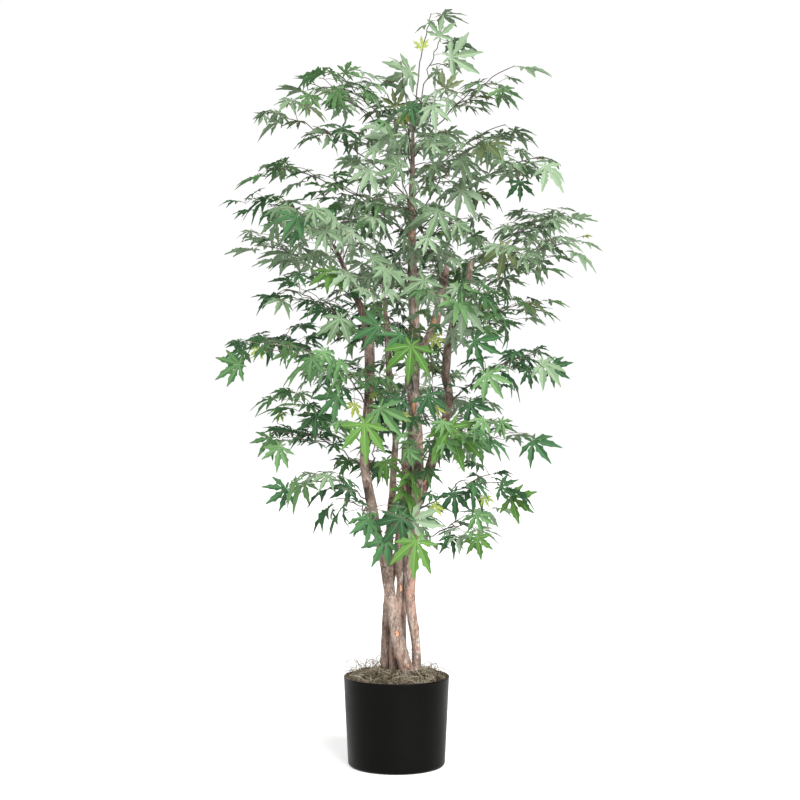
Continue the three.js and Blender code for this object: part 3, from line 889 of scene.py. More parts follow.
def seeded(seed):
    """Evenly spread numbers from 0 to 1, the same as the source's for the same seed."""
    state = seed

    def draw():
        nonlocal state
        state = (state + 0x6D2B79F5) & WORD
        mixed = ((state ^ (state >> 15)) * (state | 1)) & WORD
        mixed ^= (mixed + ((mixed ^ (mixed >> 7)) * (mixed | 61))) & WORD
        return (mixed ^ (mixed >> 14)) / (WORD + 1)

    return draw


UP = np.array([0.0, 0.0, 1.0])


def heading(degrees, pitch=0.0):
    """The direction at an angle round the tree, 0 to the right and 90 to the back, and at a pitch."""
    turn = math.radians(degrees)
    tilt = math.radians(pitch)
    return np.array([math.cos(turn) * math.cos(tilt), math.sin(turn) * math.cos(tilt), math.sin(tilt)])


def scaled(value, low, high, to_low, to_high):
    """Maps a value from one range onto another."""
    return to_low + (value - low) * (to_high - to_low) / (high - low)


def between(draw, low, high):
    """A drawn number from low to high."""
    return scaled(draw(), 0, 1, low, high)


# %% Named sizes of the crown
# The outline from the front: [height of the left tips, their reach, and the same on the right].
OUTLINE = [
    (640, 315, 505, 270),
    (735, 352, 615, 352),
    (805, 322, 740, 368),
    (962, 462, 925, 425),
    (1085, 362, 1055, 400),
    (1205, 434, 1190, 500),
    (1310, 385, 1290, 520),
    (1400, 424, 1400, 440),
    (1500, 365, 1510, 372),
    (1615, 325, 1625, 385),
]
SIDE_SWING = 16
# The sprays to the front and back, in tiers: long and short in turn, as shares of the outline's reach.
DEPTH = {
    "tiers": 14,
    "low": 575,
    "high": 1665,
    "swings": (-34, 8, 36, -10),
    "shares": (1.04, 0.52),
    "steeper": 60,
}
# The sprays over the leader's tip: [height of the tips, heading, reach, climb].
CROWN_TOP = [(1812, 5, 105, 244), (1730, 8, 225, 205)]
# A spray climbs by more the higher it is: [height, climb] at two heights.
CLIMB = ((500, -15), (1700, 165))
TWIG = {"foot": 2.8, "tip": 1.7, "arch": 0.1}
SIDE_TWIGS = {"at": (0.4, 0.62), "turn": 48, "climb": (-6, 24), "length": 0.42, "slim": 0.8}
LEAF = {
    "length": 93,
    "least": 0.6,
    "curl": 0.14,
    "pitch": -38,
    "roll": 44,
    "spread": 20,
    "apart": 15,
    "tries": 16,
}
# Where the leaves of a side twig sit: [share of its length, degrees aside].
SIDE_LEAVES = ((0.97, 0), (0.55, 60), (0.6, -60))
# Where the main twig may carry a leaf, in the order that the places are tried.
TIP_LEAF = 0.985
MAIN_LEAVES = (0.86, 0.7, 0.54, 0.38, 0.24, 0.92, 0.46, 0.3)
# Where room is tested round a leaf: [degrees from the middle lobe, share of the length].
LEAF_REACH = ((95, 0.72), (69, 0.46), (46, 0.93), (23, 0.5), (0, 1.0))
# The length of a leaf's stalk, as a share of the leaf's.
ROOT = 0.31
LEAVES_WANTED = 6
# The share of a spray's axis that carries no leaf, on a long spray and on the others.
BARE_PART = 0.4
BARE_SHORT = 0.1
BARE_TOP = 0.2
# The room that a leaf keeps: nearer to its own spray than to any other, off the wood and off the twigs.
MARGIN = 2
OFF_WOOD = 3
OFF_TWIG = 7
NEARBY = 420
# A spray's axis is checked in this many straight pieces, stands this far out at least, and may turn aside.
COURSE = 36
SHORTEST = 40
ASIDE = (0, 6, -6, 12, -12, 18, -18, 24, -24, 30, -30)
print("tiers:", len(OUTLINE), "to the sides,", DEPTH["tiers"], "to the front and back")


# %% Twigs and leaves as the source states them
class Twig:
    """A twig rises from its start, arches over and comes down towards its end."""

    def __init__(self, start, end, foot, tip):
        self.start = np.array(start, float)
        self.end = np.array(end, float)
        self.foot = foot
        self.tip = tip
        self.length = float(np.linalg.norm(self.end - self.start))

    def point(self, t):
        t = np.asarray(t, float)[..., None]
        arch = 4 * TWIG["arch"] * self.length * t * (1 - t)
        return self.start * (1 - t) + self.end * t + UP * arch

    def radius(self, t):
        return self.foot + (self.tip - self.foot) * t


class Leaf:
    """A leaf on a stalk from foot, its middle lobe towards turn and pitch, rolled about that lobe."""

    def __init__(self, foot, turn, pitch, roll, size):
        self.foot = foot
        self.length = size * LEAF["length"]
        self.family = None
        self.lay(turn, pitch, roll)
        self.heart = foot + self.ahead * ROOT * self.length

    def lay(self, turn, pitch, roll):
        """Sets the leaf's three directions: along its middle lobe, across it and out of its upper face."""
        self.turn = turn
        self.ahead = heading(turn, pitch)
        level = np.cross(UP, self.ahead)
        level /= np.linalg.norm(level)
        tilt = math.radians(roll)
        self.across = level * math.cos(tilt) + np.cross(self.ahead, level) * math.sin(tilt)
        self.face = np.cross(self.ahead, self.across)

    def samples(self):
        """Places on the leaf's lobes, by which the room round it is tested."""
        angles = []
        shares = []
        for angle, share in LEAF_REACH:
            for part in (0.45, 0.75, 1):
                angles += [angle, -angle]
                shares += [share * part] * 2
        angles = np.radians(angles)[:, None]
        shares = np.array(shares)[:, None]
        reach = shares * self.length
        spread = self.ahead * reach * np.cos(angles) + self.across * reach * np.sin(angles)
        return np.vstack([self.heart, self.heart + spread - self.face * reach * LEAF["curl"] * shares])


def off_wood(points, rows):
    """The room between points and a limb, which is endless above its tip."""
    return np.where(points[:, 2] > rows[-1][0] + OFF_WOOD, np.inf, gap_to(points, rows))


def clear_of_wood(points):
    return min(off_wood(points, rows).min() for rows in LIMBS.values()) > OFF_WOOD


def distances(points, starts, ends):
    """From each point to each straight piece."""
    along = ends - starts
    lengths = np.maximum((along * along).sum(1), 1e-12)
    offset = points[:, None, :] - starts[None]
    t = np.clip((offset * along).sum(2) / lengths, 0, 1)
    return np.linalg.norm(offset - t[..., None] * along, axis=2)


# %% [markdown]
# The furthest limb towards a heading carries the spray, and its axis turns aside by the least angle that
# keeps the twig clear of the other wood and of the sprays before it.

# %% Planting the sprays
def limb_towards(z, direction):
    """The limb that stands out furthest towards a heading: its name, its place and how far out it is."""
    best = None
    for name, rows in LIMBS.items():
        if name == "stem_sawn" or z < rows[0][0] + 30 or z > rows[-1][0]:
            continue
        x, y, radius = limb_at(rows, z)[0]
        outward = x * direction[0] + y * direction[1] + radius
        if best is None or outward > best[3]:
            best = (name, x, y, outward)
    return best


sprays = []


def plant(name, tips, wanted, reach, climb, bare):
    """Plants a spray by its tips' height, wanted heading, reach, climb from the wood and leafless share."""
    height = min(tips - climb, LIMBS["stem_leader"][-1][0] - 2)
    for aside in ASIDE:
        turn = wanted + aside
        direction = heading(turn)
        limb, x, y, outward = limb_towards(height, direction)
        leaf_out = (1 + ROOT) * LEAF["length"]
        tip = direction * max(reach, outward + SHORTEST + leaf_out)
        tip[2] = tips
        pitch = LEAF["pitch"] + math.degrees(math.atan2(climb, reach)) * 0.45
        main = Twig((x, y, height), tip - heading(turn, pitch) * leaf_out, TWIG["foot"], TWIG["tip"])
        course = main.point(np.arange(1, COURSE + 1) / COURSE)
        others = [rows for other, rows in LIMBS.items() if other != limb]
        free = all(off_wood(course, rows).min() > OFF_WOOD for rows in others)
        if free and sprays:
            starts = np.vstack([other["course"][:-1] for other in sprays])
            ends = np.vstack([other["course"][1:] for other in sprays])
            free = distances(course, starts, ends).min() > OFF_TWIG
        if not free:
            continue
        claim = [course[k] for k in range(0, COURSE, 6) if k / COURSE >= bare]
        own = {"name": name, "limb": limb, "turn": turn, "pitch": pitch, "main": main, "course": course}
        own["claim"] = np.array([*claim, main.end, tip])
        own["tips"] = tips
        sprays.append(own)
        return


def reach_at(z):
    """The outline's mean reach at a height."""
    heights = [(row[0] + row[2]) / 2 for row in OUTLINE]
    return float(np.interp(z, heights, [(row[1] + row[3]) / 2 for row in OUTLINE]))


def climb_at(z):
    (low, least), (high, most) = CLIMB
    return scaled(z, low, high, least, most)


for k, (tips, turn, reach, climb) in enumerate(CROWN_TOP):
    plant(f"spray_top_{k + 1}", tips, turn, reach, climb, BARE_TOP)
for level, (left_tips, left, right_tips, right) in enumerate(OUTLINE):
    swing = -SIDE_SWING if level % 2 else SIDE_SWING
    out = math.cos(math.radians(swing))
    plant(f"spray_left_{level + 1}", left_tips, 180 + swing, left / out, climb_at(left_tips), BARE_PART)
    plant(f"spray_right_{level + 1}", right_tips, swing, right / out, climb_at(right_tips), BARE_PART)
for level in range(DEPTH["tiers"]):
    tips = scaled(level, 0, DEPTH["tiers"] - 1, DEPTH["low"], DEPTH["high"])
    swing = DEPTH["swings"][level % 4]
    for k, (side, towards) in enumerate((("front", 270), ("back", 90))):
        short = (level + k) % 2
        reach = DEPTH["shares"][short] * reach_at(tips)
        climb = climb_at(tips) + short * DEPTH["steeper"]
        bare = BARE_SHORT if short else BARE_PART
        plant(f"spray_{side}_{level + 1}", tips, towards + swing, reach, climb, bare)
print("sprays:", len(sprays))

# %% [markdown]
# A leaf takes the first of a few tries that has room: nearer to its own spray than to any other, clear of
# the wood, the twigs and the leaves before it. Each try is freer in its turn and smaller.

# %% Growing the large leaves
def pieces_of(kind):
    """The straight pieces of every spray's claim or course: their starts, their ends and whose they are."""
    starts = np.vstack([own[kind][:-1] for own in sprays])
    ends = np.vstack([own[kind][1:] for own in sprays])
    return starts, ends, np.concatenate([[k] * (len(own[kind]) - 1) for k, own in enumerate(sprays)])


claims = pieces_of("claim")
courses = pieces_of("course")
print("pieces of the claims:", len(claims[0]), "of the axes:", len(courses[0]))


def room_to_others(points, index, pieces, nearby):
    """From each point to the nearest piece of another spray that starts nearby."""
    starts, ends, owner = pieces
    near = (owner != index) & (np.linalg.norm(starts - points.mean(0), axis=1) < nearby)
    if not near.any():
        return np.full(len(points), np.inf)
    return distances(points, starts[near], ends[near]).min(1)


def fits(points, index):
    """True if every point is nearer to its own spray's claim than to others, and off the wood and twigs."""
    if not clear_of_wood(points):
        return False
    starts, ends, owner = claims
    mine = owner == index
    own_room = distances(points, starts[mine], ends[mine]).min(1) + MARGIN
    if (room_to_others(points, index, claims, NEARBY) <= own_room).any():
        return False
    return room_to_others(points, index, courses, NEARBY / 2).min() > OFF_TWIG


def crowded(places, leaves):
    gaps = [np.linalg.norm(other.places[:, None] - places[None], axis=2).min() for other in leaves]
    return min(gaps, default=np.inf) < LEAF["apart"]


def try_leaf(index, twig, t, turn, draw, leaves):
    """Adds a leaf at a share of a twig's length, if one of the tries has room."""
    own = sprays[index]
    foot = twig.point(t)
    for attempt in range(LEAF["tries"]):
        eased = attempt / (LEAF["tries"] - 1)
        spread = LEAF["spread"] * (1 + 2 * eased)
        pitch = own["pitch"] + spread * (2 * draw() - 1)
        roll = LEAF["roll"] * (2 * draw() - 1)
        size = 1 - (1 - LEAF["least"]) * eased
        leaf = Leaf(foot, turn + spread * (2 * draw() - 1), pitch, roll, size)
        leaf.places = leaf.samples()
        if not crowded(leaf.places, leaves) and fits(leaf.places, index):
            leaf.twig = twig
            leaf.at = t
            leaves.append(leaf)
            return


def grow(index, seed):
    """The twigs and large leaves of one spray."""
    draw = seeded(seed)
    own = sprays[index]
    main = own["main"]
    twigs = [main]
    leaves = []
    try_leaf(index, main, TIP_LEAF, own["turn"], draw, leaves)
    for k, at in enumerate(SIDE_TWIGS["at"]):
        side = 1 if (k + seed) % 2 else -1
        turn = own["turn"] + side * SIDE_TWIGS["turn"] * (0.8 + 0.4 * draw())
        start = main.point(at)
        reach = main.length * SIDE_TWIGS["length"] * (1 - 0.5 * at)
        out = heading(turn, between(draw, *SIDE_TWIGS["climb"])) * reach
        twig = Twig(start, start + out, main.radius(at) * SIDE_TWIGS["slim"], TWIG["tip"])
        twig.host = main
        twig.at = at
        if not fits(twig.point([0.3, 0.5, 0.75, 1.0]), index):
            continue
        before = len(leaves)
        for t, aside in SIDE_LEAVES:
            try_leaf(index, twig, t, turn + side * aside, draw, leaves)
        if len(leaves) > before:
            twigs.append(twig)
    for k, t in enumerate(MAIN_LEAVES):
        side = -1 if (k + seed) % 2 else 1
        if len(leaves) < LEAVES_WANTED:
            try_leaf(index, main, t, own["turn"] + side * (60 + 30 * draw()), draw, leaves)
    own["twigs"] = twigs
    own["leaves"] = leaves


SPRAY_SEED = 101
SEED_STEP = 7
for index in range(len(sprays)):
    grow(index, SPRAY_SEED + SEED_STEP * index)
print("large leaves:", sum(len(own["leaves"]) for own in sprays))

# %% [markdown]
# ## Leaves as they hang
# The solids' leaves stand for several real ones, so here each comes down to life size. Those of the side
# sprays lie flat, like trays seen edge on, and some keep the steeper lay of the solid. A few leaves in
# front catch the eye in the photograph, and these are put where it shows them, each at its own angle.

# %% Life size and lay
LIFE_SIZE = 0.84
FLAT = {"share": 0.62, "pitch": (-24, 14), "roll": (-26, 26)}
LAY_SEED = 401


def settle(own, seed):
    """Brings a spray's large leaves to life size, and lays many of a side spray's flat."""
    draw = seeded(seed)
    sideways = own["name"].startswith(("spray_left", "spray_right", "spray_back"))
    for leaf in own["leaves"]:
        leaf.length *= LIFE_SIZE
        if draw() < FLAT["share"] and sideways:
            leaf.lay(leaf.turn, between(draw, *FLAT["pitch"]), between(draw, *FLAT["roll"]))
        leaf.places = leaf.samples()


for index, own in enumerate(sprays):
    settle(own, LAY_SEED + SEED_STEP * index)
print("leaves at life size:", sum(len(own["leaves"]) for own in sprays))

# %% Leaves that the photograph shows one by one
# [pixels across and down to the leaf's heart, depth, degrees of its middle lobe in the picture, lean,
# length, family of colours]. The lean is towards the viewer, and 0 degrees points to the right.
SHOWN = [
    (439, 36, -20, 75, 5, 58, "dusty"),
    (422, 48, -20, 95, 0, 32, "young"),
    (451, 57, -30, 5, 8, 86, "dusty"),
    (410, 72, -40, 195, 10, 84, "dusty"),
    (445, 88, -60, 55, 40, 56, "olive"),
    (396, 106, -70, 100, 30, 50, "olive"),
    (402, 116, -80, 320, 35, 36, "young"),
    (392, 137, -110, 218, 10, 80, "dusty"),
    (430, 144, -110, 320, 25, 64, "dusty"),
    (399, 166, -130, 205, 15, 68, "dusty"),
    (480, 146, -40, 300, 0, 56, "dusty"),
    (342, 128, -40, 285, 10, 58, "deep"),
    (319, 211, -60, 240, 5, 76, "dusty"),
    (438, 210, -150, 250, 20, 84, "dusty"),
    (369, 170, -110, 250, 25, 70, "dusty"),
    (462, 190, -120, 300, 20, 76, "dusty"),
    (520, 182, -60, 266, 15, 56, "deep"),
    (504, 246, -110, 262, 10, 82, "olive"),
    (330, 270, -150, 262, 30, 74, "lime"),
    (351, 232, -120, 235, 20, 74, "dusty"),
    (424, 280, -170, 255, 25, 86, "dusty"),
    (463, 305, -150, 262, 10, 88, "dusty"),
    (340, 318, -150, 250, 15, 76, "dusty"),
    (411, 346, -205, 262, 20, 100, "lime"),
    (434, 337, -130, 300, 10, 36, "young"),
    (487, 374, -150, 300, 10, 76, "green"),
    (452, 332, -60, 320, 10, 70, "dusty"),
    (435, 406, -120, 290, 10, 34, "young"),
    (355, 404, -130, 250, 10, 36, "young"),
    (401, 414, -120, 300, 10, 28, "young"),
    (380, 408, -165, 300, 20, 92, "green"),
    (365, 424, -190, 262, 8, 94, "lime"),
    (451, 427, -215, 282, 8, 112, "lime"),
    (280, 447, -60, 255, 10, 64, "green"),
    (416, 541, -150, 262, 8, 94, "lime"),
    (434, 505, -100, 300, 20, 34, "young"),
    (413, 452, -90, 300, 50, 44, "dusty"),
    (477, 537, -80, 285, 5, 60, "lime"),
    (484, 497, -80, 290, 20, 30, "young"),
    (259, 349, -40, 250, 15, 32, "young"),
    (280, 411, -50, 250, 15, 32, "young"),
    (401, 518, -120, 236, 12, 82, "deep"),
    (412, 520, -105, 344, 22, 86, "dusty"),
    (396, 508, -100, 290, 20, 66, "deep"),
    (476, 514, -70, 284, 12, 58, "green"),
    (362, 517, -60, 286, 10, 66, "green"),
    (454, 493, -80, 278, 14, 66, "deep"),
    (349, 486, -50, 222, 10, 62, "deep"),
    (470, 404, -120, 300, 14, 66, "deep"),
    (316, 414, -110, 262, 12, 70, "deep"),
    (337, 396, -140, 225, 12, 72, "deep"),
    (428, 395, -150, 285, 22, 74, "deep"),
    (398, 398, -150, 240, 24, 70, "deep"),
    (378, 326, -160, 200, 14, 76, "deep"),
    (401, 335, -170, 220, 26, 66, "deep"),
    (474, 341, -120, 330, 14, 80, "deep"),
    (386, 540, -110, 232, 6, 74, "deep"),
    (239, 364, -20, 206, 5, 72, "green"),
    (550, 366, -20, 322, 5, 64, "deep"),
    (533, 441, -30, 302, 35, 76, "deep"),
    (286, 489, -30, 213, 35, 70, "deep"),
    (270, 438, -40, 232, 25, 58, "green"),
    (511, 497, -50, 322, 8, 74, "lime"),
    (500, 487, -70, 342, 30, 56, "deep"),
]
print("leaves to show:", len(SHOWN))

# %% Tying the shown leaves to twigs
TO_VIEWER = np.array([0.0, -1.0, 0.0])
# The shortest and longest stalk. Past it, a fine twig of the leaf's own ends short of the leaf's heart.
HUNG = {"stalk": (18, 70), "far": 150, "foot": 1.1, "tip": 0.75, "short": 0.35}


def seen_at(across, down, depth):
    """The place at a depth that the camera sees at a pixel of the photograph, in millimetres."""
    distance = depth - EYE[1] / MM
    middle = IMAGE_PIXELS / 2
    x = EYE[0] / MM + (across - middle) * distance / FOCUS_PIXELS
    z = EYE[2] / MM - (down - middle) * distance / FOCUS_PIXELS
    return np.array([x, depth, z])


def hang(own, twig, t, leaf):
    """Ties a leaf to a place on a twig of its spray."""
    leaf.twig = twig
    leaf.at = t
    leaf.foot = twig.point(t)
    leaf.places = leaf.samples()
    own["fine_leaves"].append(leaf)


def nearest_twig(place, least):
    """How near the nearest twig is to a place, but not nearer than the least, with its spray and share."""
    best = None
    steps = np.linspace(0.15, 1, 18)
    for own in sprays:
        for twig in own["twigs"]:
            gaps = np.linalg.norm(twig.point(steps) - place, axis=1)
            gaps[gaps < least] = np.inf
            k = gaps.argmin()
            if best is None or gaps[k] < best[0]:
                best = (gaps[k], own, twig, steps[k])
    return best


for own in sprays:
    own["fine_twigs"] = []
    own["fine_leaves"] = []
lone = 0
for across, down, depth, degrees, lean, length, family in SHOWN:
    heart = seen_at(across, down, depth)
    leaf = Leaf(heart, 0, 0, 0, length / LEAF["length"])
    turn = math.radians(degrees)
    tilt = math.radians(lean)
    upright = math.cos(tilt)
    leaf.ahead = np.array([math.cos(turn) * upright, -math.sin(tilt), math.sin(turn) * upright])
    leaf.across = np.cross(TO_VIEWER, leaf.ahead)
    leaf.across /= np.linalg.norm(leaf.across)
    leaf.face = np.cross(leaf.ahead, leaf.across)
    leaf.heart = heart
    leaf.family = family
    gap, own, twig, t = nearest_twig(heart, HUNG["stalk"][0])
    if gap > HUNG["stalk"][1]:
        # Too far for a stalk: a fine twig of its own carries the leaf.
        start = twig.point(t)
        end = heart - leaf.ahead * HUNG["short"] * length
        own_twig = Twig(start, end, HUNG["foot"], HUNG["tip"])
        own_twig.host = twig
        own_twig.at = t
        own["fine_twigs"].append(own_twig)
        twig = own_twig
        t = 1.0
        lone += gap > HUNG["far"]
    hang(own, twig, t, leaf)
print("shown leaves:", len(SHOWN), "of them far from any twig:", lone)

# %% [markdown]
# ## Finer twigs
# The solids stop at two side twigs. The real sprays go on: fine wires leave the main and side twigs to
# both sides, each with a few small leaves on stalks of their own, and now and then a young leaf. They
# keep inside the crown's outline, off the wood, and far enough apart to leave sky between them. The crown
# is thin at its top, closed in the middle and open again low down, so the number of wires follows the
# height.

# %% Finer twigs
FINE = {"every": 22, "from": 0.06, "span": 0.93, "foot": 1.0, "tip": 0.65}
FINE_REACH = {"turn": (22, 92), "climb": (-14, 24), "length": (34, 98)}
FINE_LEAF = {"size": (0.44, 0.72), "smaller": 0.05, "apart": 7, "tries": 6, "spread": 42}
FINE_STALK = {"climb": (-4, 20), "length": (12, 36)}
# The leaves of a fine twig: [share of its length, degrees aside, how often there is one].
FINE_LEAVES = ((0.99, 0, 1), (0.7, 62, 1), (0.5, -62, 0.5))
YOUNG = {"share": 0.09, "size": (0.22, 0.34), "at": 0.85, "aside": -40}
# How the fine leaves of each side lie: [lowest pitch, highest pitch, most roll].
LAY = {
    "left": (-34, 12, 30),
    "right": (-34, 12, 30),
    "back": (-50, 10, 36),
    "front": (-78, -14, 40),
    "top": (-60, 45, 60),
}
# How full the crown is with fine twigs: [height, share].
FULLNESS = [
    (520, 0.1), (600, 0.1), (680, 0.25), (740, 0.12), (840, 0.8), (940, 1.0), (1000, 0.6), (1090, 0.9),
    (1230, 1.0), (1310, 0.75), (1400, 0.6), (1500, 0.3), (1560, 0.4), (1610, 0.7), (1640, 0.0),
]
FINE_SEED = 701
CROWN_HEIGHTS = (480, 1815)
PAST_OUTLINE = 10
print("fullest at:", max(FULLNESS, key=lambda row: row[1])[0], "mm")

# %% [markdown]
# A fine leaf looks for room as the large ones did, but only near itself: inside the outline, off the wood,
# and a little way from every leaf before it, so that it may lie over another without cutting through it.

# %% Room for a fine leaf
cad_low = np.array(cad_box[0]) / MM
cad_high = np.array(cad_box[1]) / MM
everywhere = [leaf for own in sprays for leaf in own["leaves"] + own["fine_leaves"]]
taken = {
    "places": np.array([leaf.places for leaf in everywhere]),
    "hearts": np.array([leaf.heart for leaf in everywhere]),
}


def side_reach(z, column):
    """The crown's outline at a height: column 0 is the left side, 2 the right."""
    return float(np.interp(z, [row[column] for row in OUTLINE], [row[column + 1] for row in OUTLINE]))


def in_crown(points):
    """True if a leaf's places stay within the outline and the front and back tiers."""
    lowest, highest = CROWN_HEIGHTS
    for x, y, z in points:
        if z < lowest or z > highest or not cad_low[1] < y < cad_high[1]:
            return False
        if not -side_reach(z, 0) - PAST_OUTLINE < x < side_reach(z, 2) + PAST_OUTLINE:
            return False
        if abs(y) > DEPTH["shares"][0] * reach_at(z):
            return False
    return True


def fine_leaf(own, twig, t, turn, draw, sizes):
    """Hangs a leaf from a fine twig on a stalk of its own. Returns it, or None where there is no room."""
    foot = twig.point(t)
    low, high, roll = LAY[own["name"].split("_")[1]]
    for attempt in range(FINE_LEAF["tries"]):
        aside = turn + FINE_LEAF["spread"] * (2 * draw() - 1)
        size = between(draw, *sizes) * (1 - FINE_LEAF["smaller"] * attempt)
        leaf = Leaf(foot, aside, between(draw, low, high), roll * (2 * draw() - 1), size)
        stalk = heading(turn, between(draw, *FINE_STALK["climb"]))
        leaf.heart = foot + stalk * between(draw, *FINE_STALK["length"])
        leaf.places = leaf.samples()
        if not in_crown(leaf.places[1::3]) or not clear_of_wood(leaf.places):
            continue
        near = np.linalg.norm(taken["hearts"] - leaf.heart, axis=1) < 2 * LEAF["length"]
        others = taken["places"][near].reshape(-1, 1, 3)
        if len(others) and np.linalg.norm(others - leaf.places, axis=2).min() < FINE_LEAF["apart"]:
            continue
        taken["places"] = np.concatenate([taken["places"], leaf.places[None]])
        taken["hearts"] = np.concatenate([taken["hearts"], leaf.heart[None]])
        hang(own, twig, t, leaf)
        return leaf
    return None


# %% Growing the fine twigs
def grow_fine(own, seed):
    """Grows the fine twigs of one spray, to both sides of its main and side twigs in turn."""
    draw = seeded(seed)
    side = 1
    full = np.array(FULLNESS).T
    for host in own["twigs"]:
        count = max(1, round(host.length / FINE["every"]))
        along = host.end - host.start
        course = math.degrees(math.atan2(along[1], along[0]))
        for k in range(count):
            t = FINE["from"] + FINE["span"] * (k + draw()) / count
            side = -side
            start = host.point(t)
            turn = course + side * between(draw, *FINE_REACH["turn"])
            reach = between(draw, *FINE_REACH["length"])
            climb = between(draw, *FINE_REACH["climb"])
            if draw() > np.interp(start[2], *full):
                continue
            twig = Twig(start, start + heading(turn, climb) * reach, FINE["foot"], FINE["tip"])
            twig.host = host
            twig.at = t
            if not clear_of_wood(twig.point([0.5, 0.75, 1.0])):
                continue
            before = len(own["fine_leaves"])
            for at, aside, chance in FINE_LEAVES:
                if chance == 1 or draw() < chance:
                    fine_leaf(own, twig, at, turn + side * aside, draw, FINE_LEAF["size"])
            if draw() < YOUNG["share"]:
                young = fine_leaf(own, twig, YOUNG["at"], turn + side * YOUNG["aside"], draw, YOUNG["size"])
                if young:
                    young.family = "young"
            if len(own["fine_leaves"]) > before:
                own["fine_twigs"].append(twig)


for index, own in enumerate(sprays):
    grow_fine(own, FINE_SEED + SEED_STEP * index)
print("fine twigs:", sum(len(own["fine_twigs"]) for own in sprays))
print("leaves in all:", len(taken["hearts"]))

# %% [markdown]
# ## Leaf shape
# The leaf is a palm of seven lobes, cut almost to its heart: one long, two nearly as long, two shorter
# and two little ones beside the stalk. Each lobe is a small grid laid out to its own outline, with a thin
# middle column for the pale vein, and its outer edges are split once more to make the teeth. The lobes
# share the ring round the heart, which one face closes, so a leaf is one sheet of a few dozen faces.
# Several are made, each drooping and bending in its own way, as on a tree whose leaves were bent by hand.

# %% The leaf's outline
# Lobes from one side of the stalk to the other: [degrees, length, half width, rows], as shares of the leaf.
LOBES = [
    (-142, 0.31, 0.17, 2),
    (-81, 0.63, 0.148, 3),
    (-40, 0.89, 0.134, 4),
    (0, 1.0, 0.128, 4),
    (40, 0.89, 0.134, 4),
    (81, 0.63, 0.148, 3),
    (142, 0.31, 0.17, 2),
]
# Where the lobes part, round the heart.
PARTINGS = (-165, -112, -61, -20, 20, 61, 112, 165)
HEART = 0.032
VEIN = 0.0085
# Half the lobe's width along its length, as a share of the widest.
LANCE = [(0, 0.2), (0.14, 0.36), (0.3, 0.7), (0.48, 1.0), (0.6, 0.95), (0.78, 0.6), (1.0, 0.0)]
LANCE_LINE = np.array(LANCE).T
TOOTH = {"valley": 0.8, "peak": 1.22, "at": 0.72}
# How leaves and lobes differ: ranges that their droop, fold and the rest are drawn from.
VARIES = {
    "droop": (0.08, 0.36),
    "fold": (0.3, 0.85),
    "turn": (-6, 6),
    "length": (0.88, 1.06),
    "bend": (-0.1, 0.1),
    "twist": (-0.6, 0.6),
    "sag": (0.5, 1.7),
    "width": (0.88, 1.12),
    "ripple": (-0.008, 0.008),
}
LEAF_SHAPES = 16
SHAPE_SEED = 500
# What a face belongs to: 0 is the heart, and then come a lobe's left half, its vein and its right half.
VEIN_PART = 2
print("lobes:", len(LOBES))

# %% [markdown]
# A lobe begins as Blender's own grid, so its faces come ready-made. Its corners are then moved, each by
# where it is across and along the lobe.


# %% Lobes and teeth
def toothed_grid(bm, part, rows):
    """A lobe's grid with its outer edges split for the teeth: each corner's place across and along it."""
    grid = bmesh.ops.create_grid(bm, x_segments=3, y_segments=rows, size=1)["verts"]
    for face in {face for vertex in grid for face in vertex.link_faces}:
        face[part] = round(face.calc_center_median().x * 1.5) + VEIN_PART
    spots = {vertex: (vertex.co.x, (vertex.co.y + 1) / 2) for vertex in grid}
    edges = {edge for vertex in grid for edge in vertex.link_edges}
    outer = [edge for edge in edges if abs(sum(v.co.x for v in edge.verts)) > 1.9]
    for edge in sorted(outer, key=lambda e: (spots[e.verts[0]][0], min(spots[v][1] for v in e.verts))):
        base, tip = sorted(edge.verts, key=lambda v: spots[v][1])
        added = bmesh.utils.edge_split(edge, base, TOOTH["at"])[1]
        spots[added] = (spots[base][0], spots[base][1] + (spots[tip][1] - spots[base][1]) * TOOTH["at"])
    return spots


def lay_lobe(spots, lobe, parting, droop, fold, random):
    """Moves a lobe's corners to its outline, and bends, twists, folds and sags it in its own way."""
    angle, length, wide, rows = lobe
    shortest, longest = VARIES["length"]
    turn = math.radians(angle + random.uniform(*VARIES["turn"]))
    reach = length * random.uniform(shortest, longest if angle else 1.0)
    bend = random.uniform(*VARIES["bend"])
    twist = random.uniform(*VARIES["twist"])
    sag = droop * random.uniform(*VARIES["sag"])
    for vertex, (u, share) in spots.items():
        if share < 1e-6:
            start = math.radians(scaled(round(u * 3) / 3, -1, 1, *parting))
            vertex.co = (HEART * math.cos(start), HEART * math.sin(start), 0)
            continue
        row = share * rows
        toothed = TOOTH["valley"] if abs(row - round(row)) < 0.01 else TOOTH["peak"]
        lance = wide * reach * float(np.interp(share, *LANCE_LINE)) * toothed
        edge_at = lance * random.uniform(*VARIES["width"])
        side = math.copysign(edge_at if abs(u) > 0.9 else min(VEIN * (1.3 - share), 0.4 * edge_at), u)
        along = reach * share
        off = side + bend * share * share * reach
        lift = fold * abs(side) + twist * side * share - sag * along * along
        if abs(u) > 0.9:
            lift += random.uniform(*VARIES["ripple"])
        x = along * math.cos(turn) - off * math.sin(turn)
        vertex.co = (x, along * math.sin(turn) + off * math.cos(turn), lift)


